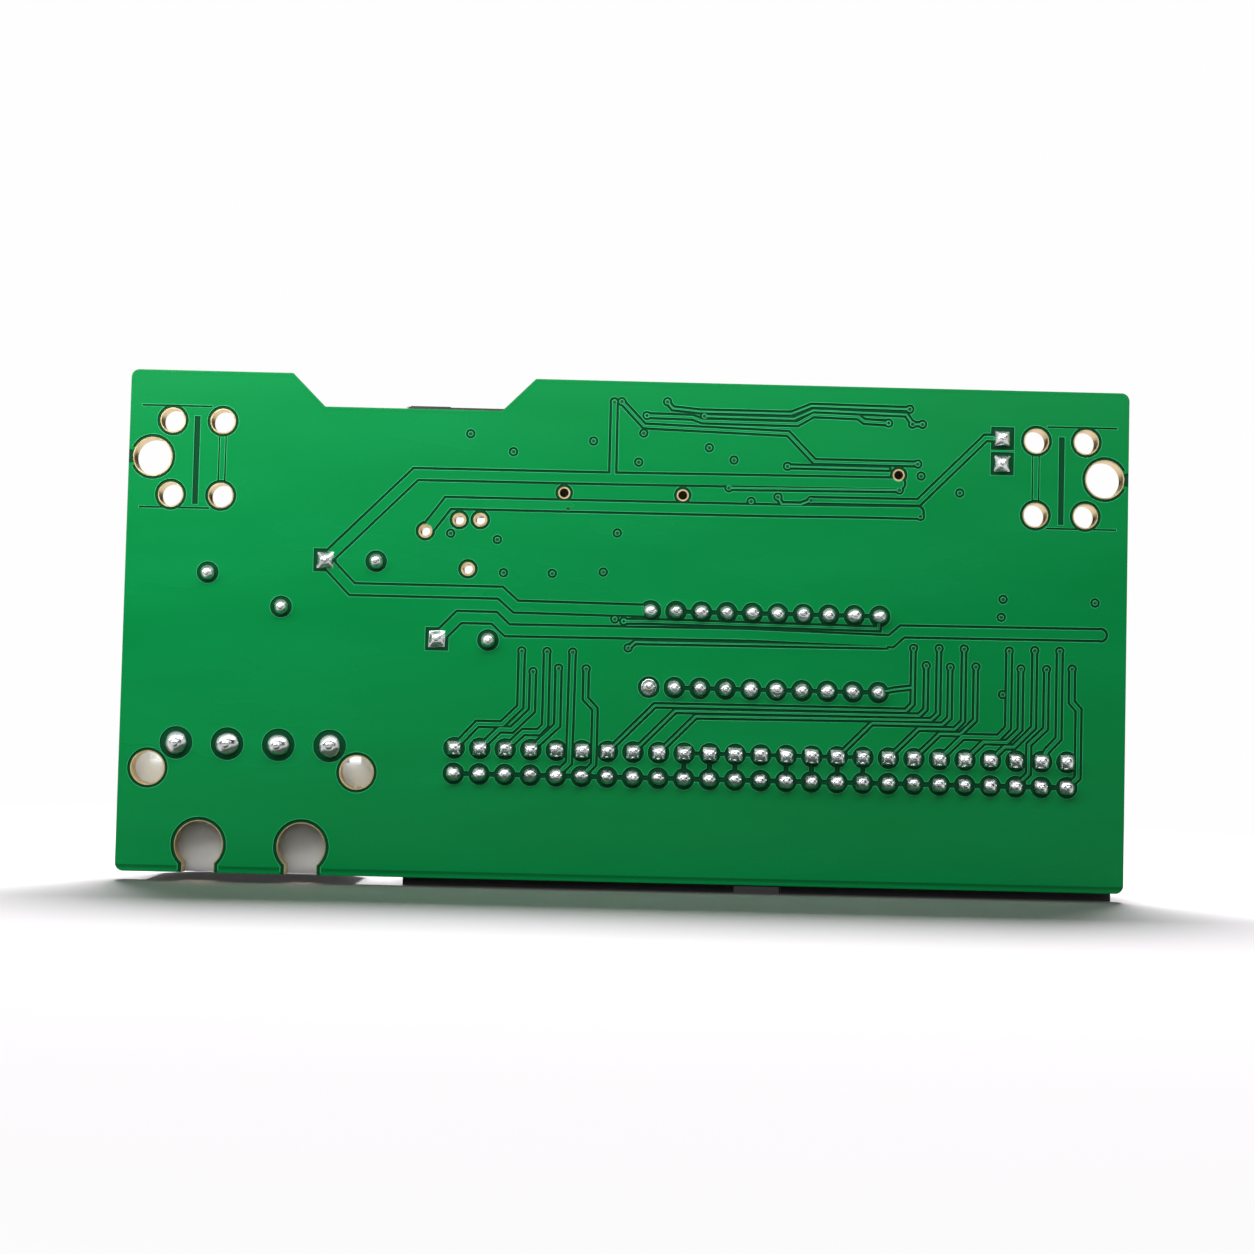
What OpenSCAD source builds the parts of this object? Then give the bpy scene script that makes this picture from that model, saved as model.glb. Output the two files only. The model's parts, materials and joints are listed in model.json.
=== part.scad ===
// Storage card adapter board: a printed circuit board that stands on the mouth of its
// 50-way box header, with its solder side to the front (-Y) and its components behind it.
// Board coordinates: u runs right from the left edge, v up from the bottom edge, both as
// seen from the solder side. The third one is height over the solder side's viewer, or,
// inside component_side(), height over the component side.

/* [Board] */
// Width of the board
board_w = 100; // [100:1:110]
// Height of the board
board_h = 50; // [50:1:60]
// Thickness of the laminate
board_t = 1.6; // [1.2:0.1:2.4]
// Radius of the board's corners
corner_r = 0.8; // [0.4:0.1:1.2]
// Thickness of the etched foil under its solder mask
foil_t = 0.07; // [0.04:0.01:0.12]
// Bare margin between the foil and the board's edge
foil_margin = 0.25; // [0.2:0.05:1]
// Width of the etched gap round tracks and lands
etch_gap = 0.24; // [0.16:0.02:0.28]
// Centre of the finger notch from the left edge
notch_u = 28.3; // [26:0.1:30]
// Width of the finger notch's floor
notch_floor_w = 17.7; // [15:0.1:19]
// Depth of the finger notch
notch_depth = 3.3; // [2:0.1:4]

/* [Holes] */
// Bore of the two plated fixing holes
fix_bore = 3.7; // [3:0.1:3.8]
// Distance of the fixing holes from the side edges
fix_edge = 2.4; // [2.3:0.05:2.6]
// Height of the fixing holes over the bottom edge
fix_v = 41.25; // [40.5:0.25:42]
// Bore of the plated bracket holes
bracket_bore = 2.3; // [1.6:0.1:2.6]
// Distance of the outer bracket holes from the side edges
bracket_edge = 4.3; // [4.2:0.1:5]
// Spacing of the bracket holes across the board
bracket_pitch_u = 5; // [4.5:0.1:6]
// Height of the lower bracket holes over the bottom edge
bracket_v = 37.5; // [37:0.1:38]
// Spacing of the bracket holes up the board
bracket_pitch_v = 7.45; // [7:0.05:8]
// Bore of the two locating holes behind the power header
locating_bore = 3.2; // [2.6:0.1:3.4]
// Spacing of the locating holes
locating_span = 20.72; // [20.5:0.02:21.2]
// Diameter of the two keyhole notches
keyhole_d = 4.7; // [4:0.1:5]
// Width of the keyhole notches at the board's edge
keyhole_neck = 3.1; // [2.4:0.1:3.6]
// Height of the keyhole notches' centres over the bottom edge
keyhole_v = 2.75; // [2.5:0.05:3]
// Wall of the plating in a hole
plating_t = 0.08; // [0.05:0.01:0.1]
// Width of the bare rim round a plated hole
rim_w = 0.12; // [0.1:0.01:0.16]

/* [Box header] */
// Columns of pins in the box header
header_cols = 25; // [17:1:25]
// First column of pins from the left edge
header_u = 33.26; // [33:0.02:33.6]
// Lower row of pins over the bottom edge
header_v = 10.38; // [10.2:0.02:10.6]
// How far the header's mouth stands below the board
mouth_drop = 0.9; // [0.5:0.1:1.5]
// Height of the header's shroud over the board
shroud_h = 9.1; // [8.8:0.1:10]
// Depth of the shroud from its mouth to its back
shroud_depth = 9.2; // [9:0.1:9.8]
// Wall of the shroud
shroud_wall = 1.25; // [1:0.05:1.5]
// Depth of the socket in the shroud
socket_depth = 6.5; // [6:0.1:7]
// Length of the shroud beyond its end pins
shroud_over = 4.92; // [4:0.02:5.2]
// Width of the key slot in the shroud
key_slot_w = 4.6; // [4:0.1:5]
// Side of the header's square pins
pin_side = 0.64; // [0.5:0.02:0.7]

/* [Power header] */
// First power pin from the left edge
power_u = 5.66; // [5.4:0.02:6]
// Power pins' row over the bottom edge
power_v = 12.8; // [12.6:0.05:13.2]
// Spacing of the power pins
power_pitch = 5.08; // [5:0.02:5.16]
// Diameter of the power pins
power_pin_d = 2.1; // [1.8:0.1:2.3]
// Height of the power header over the board
power_h = 11; // [10.5:0.1:12]
// Width of the power header's shroud
power_w = 21.2; // [20.5:0.1:22]
// Wall of the power header's shroud
power_wall = 1.15; // [1:0.05:1.4]

/* [Components] */
// First pin of the terminator networks from the left edge
net_u = 52.45; // [52:0.05:53]
// Lower network row over the bottom edge
net_v = 19.4; // [19.2:0.05:19.8]
// Spacing of the two network rows
net_rows = 7.6; // [7.2:0.05:8]
// Pins on each terminator network
net_pins = 10; // [8:1:10]
// Height of a terminator network's body
net_body_h = 5; // [4:0.1:6]
// Diameter of the capacitor cans
can_d = 8; // [6.3:0.1:8.4]
// Height of the capacitor cans
can_h = 11; // [10:0.25:12]
// Width of the card socket
card_w = 14; // [13:0.1:14.2]
// Height of the card socket
card_h = 1.9; // [1.7:0.05:2.2]
// Side of the controller's square body
chip_side = 14; // [13:0.1:14]
// Leads on each side of the controller
chip_leads = 25; // [16:1:25]

/* [Solder] */
// Diameter of a pin's solder joint
joint_d = 1.5; // [1.3:0.05:1.6]
// Height of the solder joints
joint_h = 1.1; // [1:0.05:1.2]
// How far the leads reach into their joints
tail = 0.55; // [0.4:0.05:0.6]
// Diameter of a power pin's solder joint
power_joint_d = 2.25; // [2:0.05:2.5]

/* [Hidden] */
$fn = 40;
round_fn = 32;
eps = 0.02;

// ---- places that several pieces share ----
pitch = 2.54;                       // the standard grid of pin headers and networks
seat = foil_t;                      // component bodies rest on the component side's foil
mid_header_u = header_u + (header_cols - 1) * pitch / 2;
shroud_len = (header_cols - 1) * pitch + 2 * shroud_over;
mid_power_u = power_u + 1.5 * power_pitch;
locating_v = power_v - 2.55;        // the locating holes lie this far below the pins
row_heights = [seat + 3.25, seat + 3.25 + pitch];   // the header's two rows over the board

function header_pin(col, row) = [header_u + (col - 1) * pitch, header_v + row * pitch];
function net_pin(i, row) = [net_u + (i - 1) * pitch, net_v + row * net_rows];
function from_right(p) = [board_w - p[0], p[1]];

HEADER_PINS = [for (row = [0, 1]) for (col = [1 : header_cols]) header_pin(col, row)];
NET_PINS = [for (row = [0, 1]) for (i = [1 : net_pins]) net_pin(i, row)];
POWER_PINS = [for (i = [0 : 3]) [power_u + i * power_pitch, power_v]];
CAP_SPAN = 2 * pitch;               // spacing of a capacitor's two leads
CAPS = [[19.9, 31.3], [31.25, 23.7]];
FUSE = [[8.25, 29.8], [15.65, 26.55]];
JUMPER = [[87.3, 42.6], [87.3, 42.6 + pitch]];
KEYHOLES = [for (i = [0.5, 2.5]) [power_u + i * power_pitch, keyhole_v]];
LOCATING = [for (s = [-1, 1]) [mid_power_u + s * locating_span / 2, locating_v]];
FIXING = [[fix_edge, fix_v], from_right([fix_edge, fix_v])];
BRACKET_LEFT = [for (i = [0, 1]) for (j = [0, 1])
    [bracket_edge + i * bracket_pitch_u, bracket_v + j * bracket_pitch_v]];
BRACKET = concat(BRACKET_LEFT, [for (p = BRACKET_LEFT) from_right(p)]);

// Each capacitor has its first lead on a square land, and so have both jumper pins
SQUARE_LANDS = concat(CAPS, JUMPER);
ROUND_LANDS = concat([for (c = CAPS) c + [CAP_SPAN, 0]], FUSE);
land_side = 1.65;                   // side of the square lands

// Leads and the bores that they pass through
lead_d = 0.6;
lead_bore = 0.8;
contact_d = 0.5;                    // tail of a network socket's contact
pin_bore = 1.02;
power_tail_d = 1.5;
power_bore = 1.8;

mask_ring = 0.33;                   // ring of bare laminate round a joint
edge_ring = 0.28;                   // the same round an open hole

// Small plated holes that hold no lead; parts lie over the test holes, whose rims are slimmer
SPARE_BORE = 0.95;
SPARE = [[33.15, 35.65], [35.25, 35.7], [29.8, 34.45], [34.15, 30.75]];
TEST_BORE = 0.9;
TEST_RIM = 0.15;
TEST = [[43.55, 38.6], [55.4, 38.65], [76.95, 41.2]];
land_w = 0.22;                      // width of the rim round a small plated hole

// [bore, rim, places] of every plated hole without a lead
PLATED = [[fix_bore, rim_w, FIXING], [bracket_bore, rim_w, BRACKET],
          [locating_bore, rim_w, LOCATING], [SPARE_BORE, land_w, SPARE], [TEST_BORE, TEST_RIM, TEST]];

// ---- tracks on the solder side: [width from gap to gap, route] ----
WIDE = 1.2;
POWER_TRACKS = [
    [WIDE, [CAPS[0], [28.7, 40.12], [47, 40.15], [77, 40.35]]],
    [WIDE, [[29.9, 34.5], [32, 37.3], [64, 37.35], [78.9, 37.5]]],
    [WIDE, [CAPS[0], [22.65, 28.45], [37.45, 28.45], [39, 27.1], net_pin(1, 1)]],
    [WIDE, [CAPS[1], [33.4, 25.93], [36.9, 25.93], [38.2, 24.72], [62, 24.85],
            [76.5, 24.55], [77.6, 25.55], [97.4, 25.65]]],
    [0.7, [[48.35, 47.85], [48.35, 40.6]]]];
CARD_TRACKS = [
    [0.5, [[49.1, 47.9], [51.4, 45.5], [65.8, 45.1], [68.5, 42.35], [78.85, 42.35]]],
    [0.5, [[51.64, 46.56], [56.2, 46.5], [57.2, 46.15], [66.7, 46.1], [68.3, 47.05],
           [72.8, 46.95], [73.4, 46.5], [75.85, 46.4]]],
    [0.42, [[53.66, 48], [54.2, 47.35], [57, 47.1], [66.1, 47.1], [68.1, 47.95], [77.95, 47.85]]],
    [0.42, [[57.4, 46.65], [66.4, 46.6], [68.3, 47.5], [77.6, 47.3], [78.25, 46.4]]],
    [0.42, [[78.25, 46.35], [79.25, 46.35]]],
    [0.42, [[65.8, 41.8], [75.9, 41.8]]],
    [0.44, [[60, 39.5], [77.05, 39.7]]],
    [0.66, [[68.24, 38.45], [79, 38.5], [85.6, 45.15], JUMPER[1]]],
    [0.4, [[64.92, 38.7], [65.3, 38], [67.2, 38], [68.24, 38.45]]],
    [0.5, [[44, 37.05], [79.2, 37.1]]],
    [0.5, [[49.8, 25.9], [52, 25.95], [75.2, 25.75], net_pin(10, 1)]],
    [0.42, [[50.3, 23.25], [51, 23.85], [76, 24]]],
    [0.42, [net_pin(10, 0), [77, 19.75], [78.75, 20]]]];
BUS_TRACKS = [
    [0.62, [[39.73, 22.7], [39.73, 17.15], [37.95, 15.35], [35.5, 15.35], header_pin(1, 1)]],
    [0.62, [[40.9, 20.67], [40.9, 16.8], [38.95, 14.85], [37.7, 14.85], header_pin(2, 1)]],
    [0.62, [[42.24, 22.7], [42.24, 15.35], [41.6, 14.65], [40.1, 14.65], header_pin(3, 1)]],
    [0.62, [[43.44, 21.07], [43.44, 15.4], header_pin(4, 1)]],
    [0.62, [[44.8, 22.7], [44.75, 16.8], [44.7, 11.7], header_pin(5, 0)]],
    [0.55, [[46.18, 21.07], [46.18, 18.1], [47.15, 17.1], [47.15, 11.6], header_pin(6, 0)]],
    [0.45, [[78.75, 23.9], [78.75, 18.35], [78.1, 17.65], [53.1, 17.6], header_pin(7, 1)]],
    [0.45, [[80.05, 22.2], [80.05, 17.85], [79.4, 17.2], [55.15, 17.1], header_pin(8, 1)]],
    [0.45, [[81.3, 23.95], [81.3, 17.45], [80.6, 16.78], [57.2, 16.6], header_pin(9, 1)]],
    [0.45, [[82.45, 22.1], [82.45, 17.05], [81.75, 16.35], [74.75, 16.35], header_pin(16, 1)]],
    [0.45, [[83.8, 23.95], [83.8, 16.75], [83, 15.92], [79.4, 15.9], header_pin(18, 1)]],
    [0.45, [[85, 22.2], [85, 16.9], [83.55, 15.45], [81.5, 15.45], header_pin(19, 1)]],
    [0.6, [[88.3, 23.85], [88.3, 16.2], [87.35, 15.2], [83.8, 15.2], header_pin(20, 1)]],
    [0.5, [[89.5, 22.1], [89.5, 16.05], [88.2, 14.75], [85.9, 14.75], header_pin(21, 1)]],
    [0.5, [[90.85, 23.95], [90.85, 16.3], [88.9, 14.3], [88, 14.3], header_pin(22, 1)]],
    [0.5, [[92.05, 22.1], [92.05, 16.2], [90.4, 14.6], [90.4, 11.7], header_pin(23, 0)]],
    [0.6, [[93.35, 23.95], [93.35, 15.25], [92.2, 14], header_pin(24, 1)]],
    [0.6, [[94.6, 22.2], [94.6, 18.9], [95.3, 18.15], [95.3, 11.4], header_pin(25, 0)]]];
TRACKS = concat(POWER_TRACKS, CARD_TRACKS, BUS_TRACKS);

// Bare slits in the pour, as [width, route]: along the rows, and between the rows' two joints
SLITS = concat([for (col = [10 : 17]) if (col != 13) [0.5, [header_pin(col, 0), header_pin(col, 1)]]], [
    [0.5, [header_pin(1, 0), header_pin(header_cols, 0)]],
    [0.4, [header_pin(10, 1), header_pin(17, 1)]],
    [0.45, [net_pin(2, 0), net_pin(net_pins, 0)]],
    [0.45, [net_pin(2, 1), net_pin(net_pins, 1)]],
    [0.14, [[68.6, 40.6], [75.6, 40.7]]]]);
// Slits round each group of bracket holes, for the left group
BRACKET_SLITS = [
    [0.16, [[1.2, 46.4], [8.2, 46.4]]],
    [0.16, [[1.2, 36.2], [8.2, 36.2]]],
    [0.55, [[6.75, 45.4], [6.75, 36.6]]],
    [0.12, [[9, 43.6], [9, 38.8]]],
    [0.12, [[9.65, 43.6], [9.65, 38.8]]]];

VIA_BORE = 0.26;
VIA_LAND = 0.54;
VIA_CLEAR = 0.94;                   // the etched ring round a via's land
LOOSE_VIAS = [
    [34.06, 44.3], [38.38, 42.6], [46.36, 43.87], [50.92, 41.86], [57.95, 43.48], [60.45, 42.3],
    [37, 33.75], [48.95, 34.7], [32.33, 34.27], [37.7, 30.45], [42.56, 30.5], [47.64, 30.76],
    [62.24, 38.2], [83.1, 39.55], [79.2, 41.15], [51.36, 44.78], [87.6, 29], [96.8, 28.85],
    [87.45, 27.2], [87.7, 19.5], [48.9, 26.1]];
TRACK_VIAS = concat(
    [for (t = BUS_TRACKS) t[1][0]],
    [for (t = CARD_TRACKS) if (t[1][0][1] > 25) t[1][0]],
    [[48.35, 47.85], [78.85, 42.35], [75.85, 46.4], [77.95, 47.85], [79.25, 46.35],
     [77.05, 39.7], [68.24, 38.45], [79.2, 37.1], [50.3, 23.25]]);

// ---- strokes, rings and frames ----
function unit(v) = v / norm(v);
function left_of(d) = [-d[1], d[0]];
// A route moved sideways, mitred at its corners
function beside(route, off) = [
    for (i = [0 : len(route) - 1])
        let (a = max(i, 1), b = min(i, len(route) - 2),
             before = unit(route[a] - route[a - 1]), after = unit(route[b + 1] - route[b]),
             n = unit(left_of(before) + left_of(after)))
        route[i] + n * off / (n * left_of(before))];
function reversed(list) = [for (i = [len(list) - 1 : -1 : 0]) list[i]];

// A stroke's round ends are a little fuller than it is wide, so that its sides run into them
module stroke(route, w) {
    polygon(concat(beside(route, w / 2), reversed(beside(route, -w / 2))));
    for (end = [route[0], route[len(route) - 1]]) translate(end) circle(d = 1.04 * w);
}

module slit(route, w) polygon(concat(beside(route, w / 2), reversed(beside(route, -w / 2))));

module dots(places, d) for (p = places) translate(p) circle(d = d);

module square_dots(places, side) for (p = places) translate(p) square(side, center = true);

// Stands the board upright with the solder side towards -Y
module stand() {
    depth_back = max(seat + power_h, seat + can_gap + can_h, fuse_top);
    translate([-board_w / 2, (board_t + joint_h - depth_back) / 2, mouth_drop])
        rotate([90, 0, 0]) children();
}

// Turns (u, v, height over the component side) into the board's own frame
module component_side() mirror([0, 0, 1]) children();

// Extrudes a (v, height) outline across the board, centred on u
module across(u, width) translate([u - width / 2, 0, 0]) rotate([90, 0, 90])
    linear_extrude(width) children();

// Extrudes a (u, height) outline up the board from v
module upwards(v, length) translate([0, v + length, 0]) rotate([90, 0, 0])
    linear_extrude(length) children();

// ---- the bare board ----
module notch_outline(grow) {
    floor_v = board_h - notch_depth - grow;
    half = notch_floor_w / 2 + grow * (sqrt(2) - 1);
    rise = notch_depth + grow + 1;
    polygon([[notch_u - half - rise, floor_v + rise], [notch_u - half, floor_v],
             [notch_u + half, floor_v], [notch_u + half + rise, floor_v + rise]]);
}

module keyhole_outline(grow) for (p = KEYHOLES) translate(p) {
    circle(d = keyhole_d + 2 * grow);
    translate([-keyhole_neck / 2 - grow, -keyhole_v - 1]) square([keyhole_neck + 2 * grow, keyhole_v + 1]);
}

module rounded_rect(w, h, r) {
    translate([r, 0]) square([w - 2 * r, h]);
    translate([0, r]) square([w, h - 2 * r]);
    for (x = [r, w - r]) for (y = [r, h - r]) translate([x, y]) circle(r);
}

module laminate() color("darkgreen") stand() linear_extrude(board_t) difference() {
    rounded_rect(board_w, board_h, corner_r);
    notch_outline(0);
    keyhole_outline(plating_t);
    for (set = PLATED) dots(set[2], set[0] + 2 * plating_t);
    lead_bores();
}

module lead_bores() {
    dots(concat(HEADER_PINS, NET_PINS, JUMPER), pin_bore);
    dots(concat(CAPS, ROUND_LANDS), lead_bore);
    dots(POWER_PINS, power_bore);
}

// Everything that the foil keeps clear of on either side
module joint_clearance() {
    dots(concat(HEADER_PINS, NET_PINS, ROUND_LANDS), joint_d + 2 * mask_ring);
    dots(POWER_PINS, power_joint_d + 3 * mask_ring);
    square_dots(SQUARE_LANDS, land_side + 2 * mask_ring);
}

// Where the solder joints and the open holes themselves stand
module joint_feet() {
    dots(concat(HEADER_PINS, NET_PINS, ROUND_LANDS), joint_d);
    dots(POWER_PINS, power_joint_d);
    square_dots(SQUARE_LANDS, land_side);
}

module hole_clearance() {
    for (set = PLATED) dots(set[2], set[0] + 2 * set[1] + 2 * edge_ring);
    notch_outline(foil_margin);
    keyhole_outline(edge_ring + rim_w);
}

module hole_feet() for (set = PLATED) dots(set[2], set[0] + 2 * set[1]);

module pour_outline() translate([foil_margin, foil_margin])
    square([board_w - 2 * foil_margin, board_h - 2 * foil_margin]);

module bracket_slits() for (s = BRACKET_SLITS) {
    slit(s[1], s[0]);
    slit([for (p = s[1]) from_right(p)], s[0]);
}

module solder_side_foil() color("mediumseagreen") stand() translate([0, 0, board_t])
    linear_extrude(foil_t) difference() {
        union() {
            difference() {
                pour_outline();
                for (t = TRACKS) stroke(t[1], t[0] + etch_gap);
                for (s = SLITS) slit(s[1], s[0]);
                bracket_slits();
                dots(concat(LOOSE_VIAS, TRACK_VIAS), VIA_CLEAR);
                joint_clearance();
                hole_clearance();
            }
            intersection() {
                pour_outline();
                union() {
                    for (t = TRACKS) stroke(t[1], t[0] - etch_gap);
                    dots(concat(LOOSE_VIAS, TRACK_VIAS), VIA_LAND);
                }
            }
        }
        dots(concat(LOOSE_VIAS, TRACK_VIAS), VIA_BORE);
        joint_feet();
        hole_feet();
    }

// Tracks behind the board: the networks to the header and to the controller
BACK_TRACKS = concat(
    [for (i = [1 : net_pins]) [0.5, [net_pin(i, 0), net_pin(i, 0) - [0, 3], header_pin(i + 7, 1)]]],
    [for (i = [1 : net_pins]) [0.5, [net_pin(i, 1), net_pin(i, 0)]]]);

module component_side_foil() color("seagreen") stand() component_side()
    linear_extrude(foil_t) difference() {
        union() {
            difference() {
                pour_outline();
                for (t = BACK_TRACKS) stroke(t[1], t[0] + etch_gap);
                joint_clearance();
                hole_clearance();
                surface_pad_outline(0.3);
            }
            for (t = BACK_TRACKS) stroke(t[1], t[0] - etch_gap);
        }
        joint_feet();
        hole_feet();
    }

// A plated hole: its barrel through the board, with a bare rim on each face
module plated_hole(bore, rim) difference() {
    union() {
        translate([0, 0, -foil_t]) cylinder(h = board_t + 2 * foil_t, d = bore + 2 * plating_t);
        for (z = [-foil_t, board_t]) translate([0, 0, z]) cylinder(h = foil_t, d = bore + 2 * rim);
    }
    translate([0, 0, -1]) cylinder(h = board_t + 2, d = bore);
}

module hole_plating() color("tan") stand() {
    for (set = PLATED) for (p = set[2]) translate(p) plated_hole(set[0], set[1]);
    // the keyhole notches' edges are plated too
    linear_extrude(board_t) intersection() {
        square([board_w, board_h]);
        difference() {
            keyhole_outline(plating_t);
            keyhole_outline(0);
        }
    }
}

// Rings round the leads on the component side
module lead_lands() color("silver") stand() component_side() linear_extrude(foil_t) difference() {
    joint_feet();
    lead_bores();
}

// ---- solder joints ----
// A joint's outline as [radius, height]: a round shoulder, and on it the lead's rounded tip
shoulder_h = 0.7 * joint_h;
function joint_outline(foot_r, tip_r) = concat(
    [for (a = [0 : 15 : 75]) [tip_r + (foot_r - tip_r) * cos(a), shoulder_h * sin(a)]],
    [for (a = [0 : 30 : 90]) [tip_r * cos(a), shoulder_h + (joint_h - shoulder_h) * sin(a)]]);

module joint(foot_d) rotate_extrude($fn = round_fn)
    polygon(concat([[0, 0]], joint_outline(foot_d / 2, 0.15 * foot_d)));

module round_lead(d) cylinder(h = 2 * tail, d = d, center = true);

module square_lead() cube([pin_side, pin_side, 2 * tail], center = true);

// Joints at some places, each round its lead
module joints(places, foot_d) for (p = places) translate([p[0], p[1], board_t]) difference() {
    joint(foot_d);
    children();
}

// The same on square lands, which cut the joint square
module square_joints(places) for (p = places) translate([p[0], p[1], board_t]) difference() {
    intersection() {
        joint(land_side * 1.4);
        translate([-land_side / 2, -land_side / 2, 0]) cube([land_side, land_side, joint_h]);
    }
    children();
}

module header_joints() color("silver") stand() joints(HEADER_PINS, joint_d) square_lead();

module network_joints() color("silver") stand() joints(NET_PINS, joint_d) round_lead(contact_d);

module power_joints() color("silver") stand()
    joints(POWER_PINS, power_joint_d) round_lead(power_tail_d);

module two_lead_joints() color("silver") stand() {
    joints(ROUND_LANDS, joint_d) round_lead(lead_d);
    square_joints(CAPS) round_lead(lead_d);
}

module jumper_joints() color("silver") stand() square_joints(JUMPER) square_lead();

// ---- 50-way box header ----
shroud_v = -mouth_drop;             // v of the mouth
shroud_back = shroud_v + shroud_depth;
pin_tip_v = shroud_v + 1.2;

module header_shroud() color("#1c1c1e") stand() component_side() difference() {
    translate([mid_header_u - shroud_len / 2, shroud_v, seat]) cube([shroud_len, shroud_depth, shroud_h]);
    // the socket
    translate([mid_header_u - shroud_len / 2 + 2 * shroud_wall, shroud_v - 1, seat + shroud_wall])
        cube([shroud_len - 4 * shroud_wall, socket_depth + 1, shroud_h - 2 * shroud_wall]);
    // the key slot in the wall next to the board
    translate([mid_header_u - key_slot_w / 2, shroud_v - 1, 0])
        cube([key_slot_w, socket_depth + 1, seat + shroud_wall + eps]);
    // finger recesses in both ends of the far wall
    for (s = [-1, 1]) translate([mid_header_u + s * (shroud_len / 2 - 4.2), shroud_v + 1, seat + shroud_h])
        cube([4, 4, 1], center = true);
    // a step along the back, over the pins' tails
    translate([mid_header_u - shroud_len / 2 - 1, shroud_back - 1.2, seat + row_heights[1] + 1.2])
        cube([shroud_len + 2, 2, shroud_h]);
    for (row = [0, 1]) for (col = [1 : header_cols])
        translate([header_pin(col, row)[0], shroud_back - 2, row_heights[row]])
            cube([pin_side, 8, pin_side], center = true);
}

// One bent pin: from its tip in the socket, over the bend and down through the board
module bent_pin(col, row) {
    v = header_pin(col, row)[1];
    h = row_heights[row];
    r = pin_side / 2;
    bend = 0.45;                    // the outer corner of the bend is cut by this much
    across(header_pin(col, row)[0], pin_side) polygon([
        [pin_tip_v, h - r / 2], [pin_tip_v + 0.5, h - r], [v - r, h - r], [v - r, -board_t - tail],
        [v + r, -board_t - tail], [v + r, h + r - bend], [v + r - bend, h + r],
        [pin_tip_v + 0.5, h + r], [pin_tip_v, h + r / 2]]);
}

module header_pins() color("gold") stand() component_side()
    for (row = [0, 1]) for (col = [1 : header_cols]) bent_pin(col, row);

// ---- drive power header ----
power_depth = 11;                   // length of its shroud from the board's edge
power_pin_h = seat + 5.6;           // height of its pins over the board
power_cup = 8.6;                    // depth of its socket
power_chamfer = 3;                  // cut corners on the side away from the board
ear_w = 2.2;
power_bend_r = 1.6;

module power_outline(inset) {
    half = power_w / 2 - inset;
    low = seat + inset;
    high = seat + power_h - inset;
    cut = power_chamfer - inset * (2 - sqrt(2));
    polygon([[mid_power_u - half, low], [mid_power_u + half, low], [mid_power_u + half, high - cut],
             [mid_power_u + half - cut, high], [mid_power_u - half + cut, high],
             [mid_power_u - half, high - cut]]);
}

module power_shroud() color("ivory") stand() component_side() {
    difference() {
        upwards(0, power_depth) power_outline(0);
        upwards(-1, power_cup + 1) power_outline(power_wall);
        for (p = POWER_PINS) translate([p[0], power_depth + 1, power_pin_h])
            rotate([90, 0, 0]) cylinder(h = power_depth, d = power_pin_d);
    }
    // ears that cover the outer halves of the locating holes
    for (s = [-1, 1]) translate([mid_power_u + s * (power_w + ear_w) / 2, locating_v, seat + 1.6])
        cube([ear_w + eps, 4.4, 3.2], center = true);
}

module power_pins() color("lightgray") stand() component_side() for (p = POWER_PINS) {
    translate([p[0], p[1] - power_bend_r, power_pin_h]) rotate([90, 0, 0])
        cylinder(h = p[1] - power_bend_r - 1.8, d = power_pin_d);
    translate([p[0], p[1] - power_bend_r, power_pin_h - power_bend_r]) rotate([90, 0, 90])
        rotate_extrude(angle = 90) translate([power_bend_r, 0]) circle(d = power_pin_d);
    translate([p[0], p[1], seat + 1]) cylinder(h = power_pin_h - power_bend_r - seat - 1, d = power_pin_d);
    translate([p[0], p[1], -board_t - tail]) cylinder(h = board_t + tail + seat + 1, d = power_tail_d);
}

// ---- terminator networks in their sockets ----
socket_h = 3;
strip_w = 2.4;
net_t = 2.2;
net_lift = 0.6;                     // gap between a socket and the network's body
strip_len = net_pins * pitch - 0.1;
net_foot_h = seat + socket_h + net_lift;

module network_sockets() color("#222224") stand() component_side() for (row = [0, 1]) difference() {
    translate([net_pin(1, row)[0] - pitch / 2 + 0.05, net_pin(1, row)[1] - strip_w / 2, seat])
        cube([strip_len, strip_w, socket_h]);
    for (i = [1 : net_pins]) translate([net_pin(i, row)[0], net_pin(i, row)[1], seat - 1])
        cylinder(h = socket_h + 2, d = 1.5);
}

// A turned contact: a cup in the strip with a thin tail through the board
module turned_contact() difference() {
    union() {
        translate([0, 0, seat]) cylinder(h = socket_h, d = 1.5);
        translate([0, 0, -board_t - tail]) cylinder(h = board_t + tail + seat, d = contact_d);
    }
    translate([0, 0, seat + 0.6]) cylinder(h = socket_h, d = 0.6);
}

module network_contacts() color("gold") stand() component_side()
    for (p = NET_PINS) translate(p) turned_contact();

module network_bodies() color("#26262a") stand() component_side() for (row = [0, 1])
    translate([net_pin(1, row)[0] - pitch / 2 + 0.25, net_pin(1, row)[1] - net_t / 2, net_foot_h])
        cube([net_pins * pitch - 0.5, net_t, net_body_h]);

module network_leads() color("silver") stand() component_side()
    for (p = NET_PINS) translate([p[0] - 0.2, p[1] - 0.13, seat + 0.8])
        cube([0.4, 0.26, net_foot_h - seat - 0.8]);

// ---- two-lead parts ----
can_gap = 0.3;                      // height of the rubber seal that shows under a can
can_bead_h = 1.6;                   // height of the rolled groove over the board
function cap_mid(c) = c + [CAP_SPAN / 2, 0];

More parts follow.
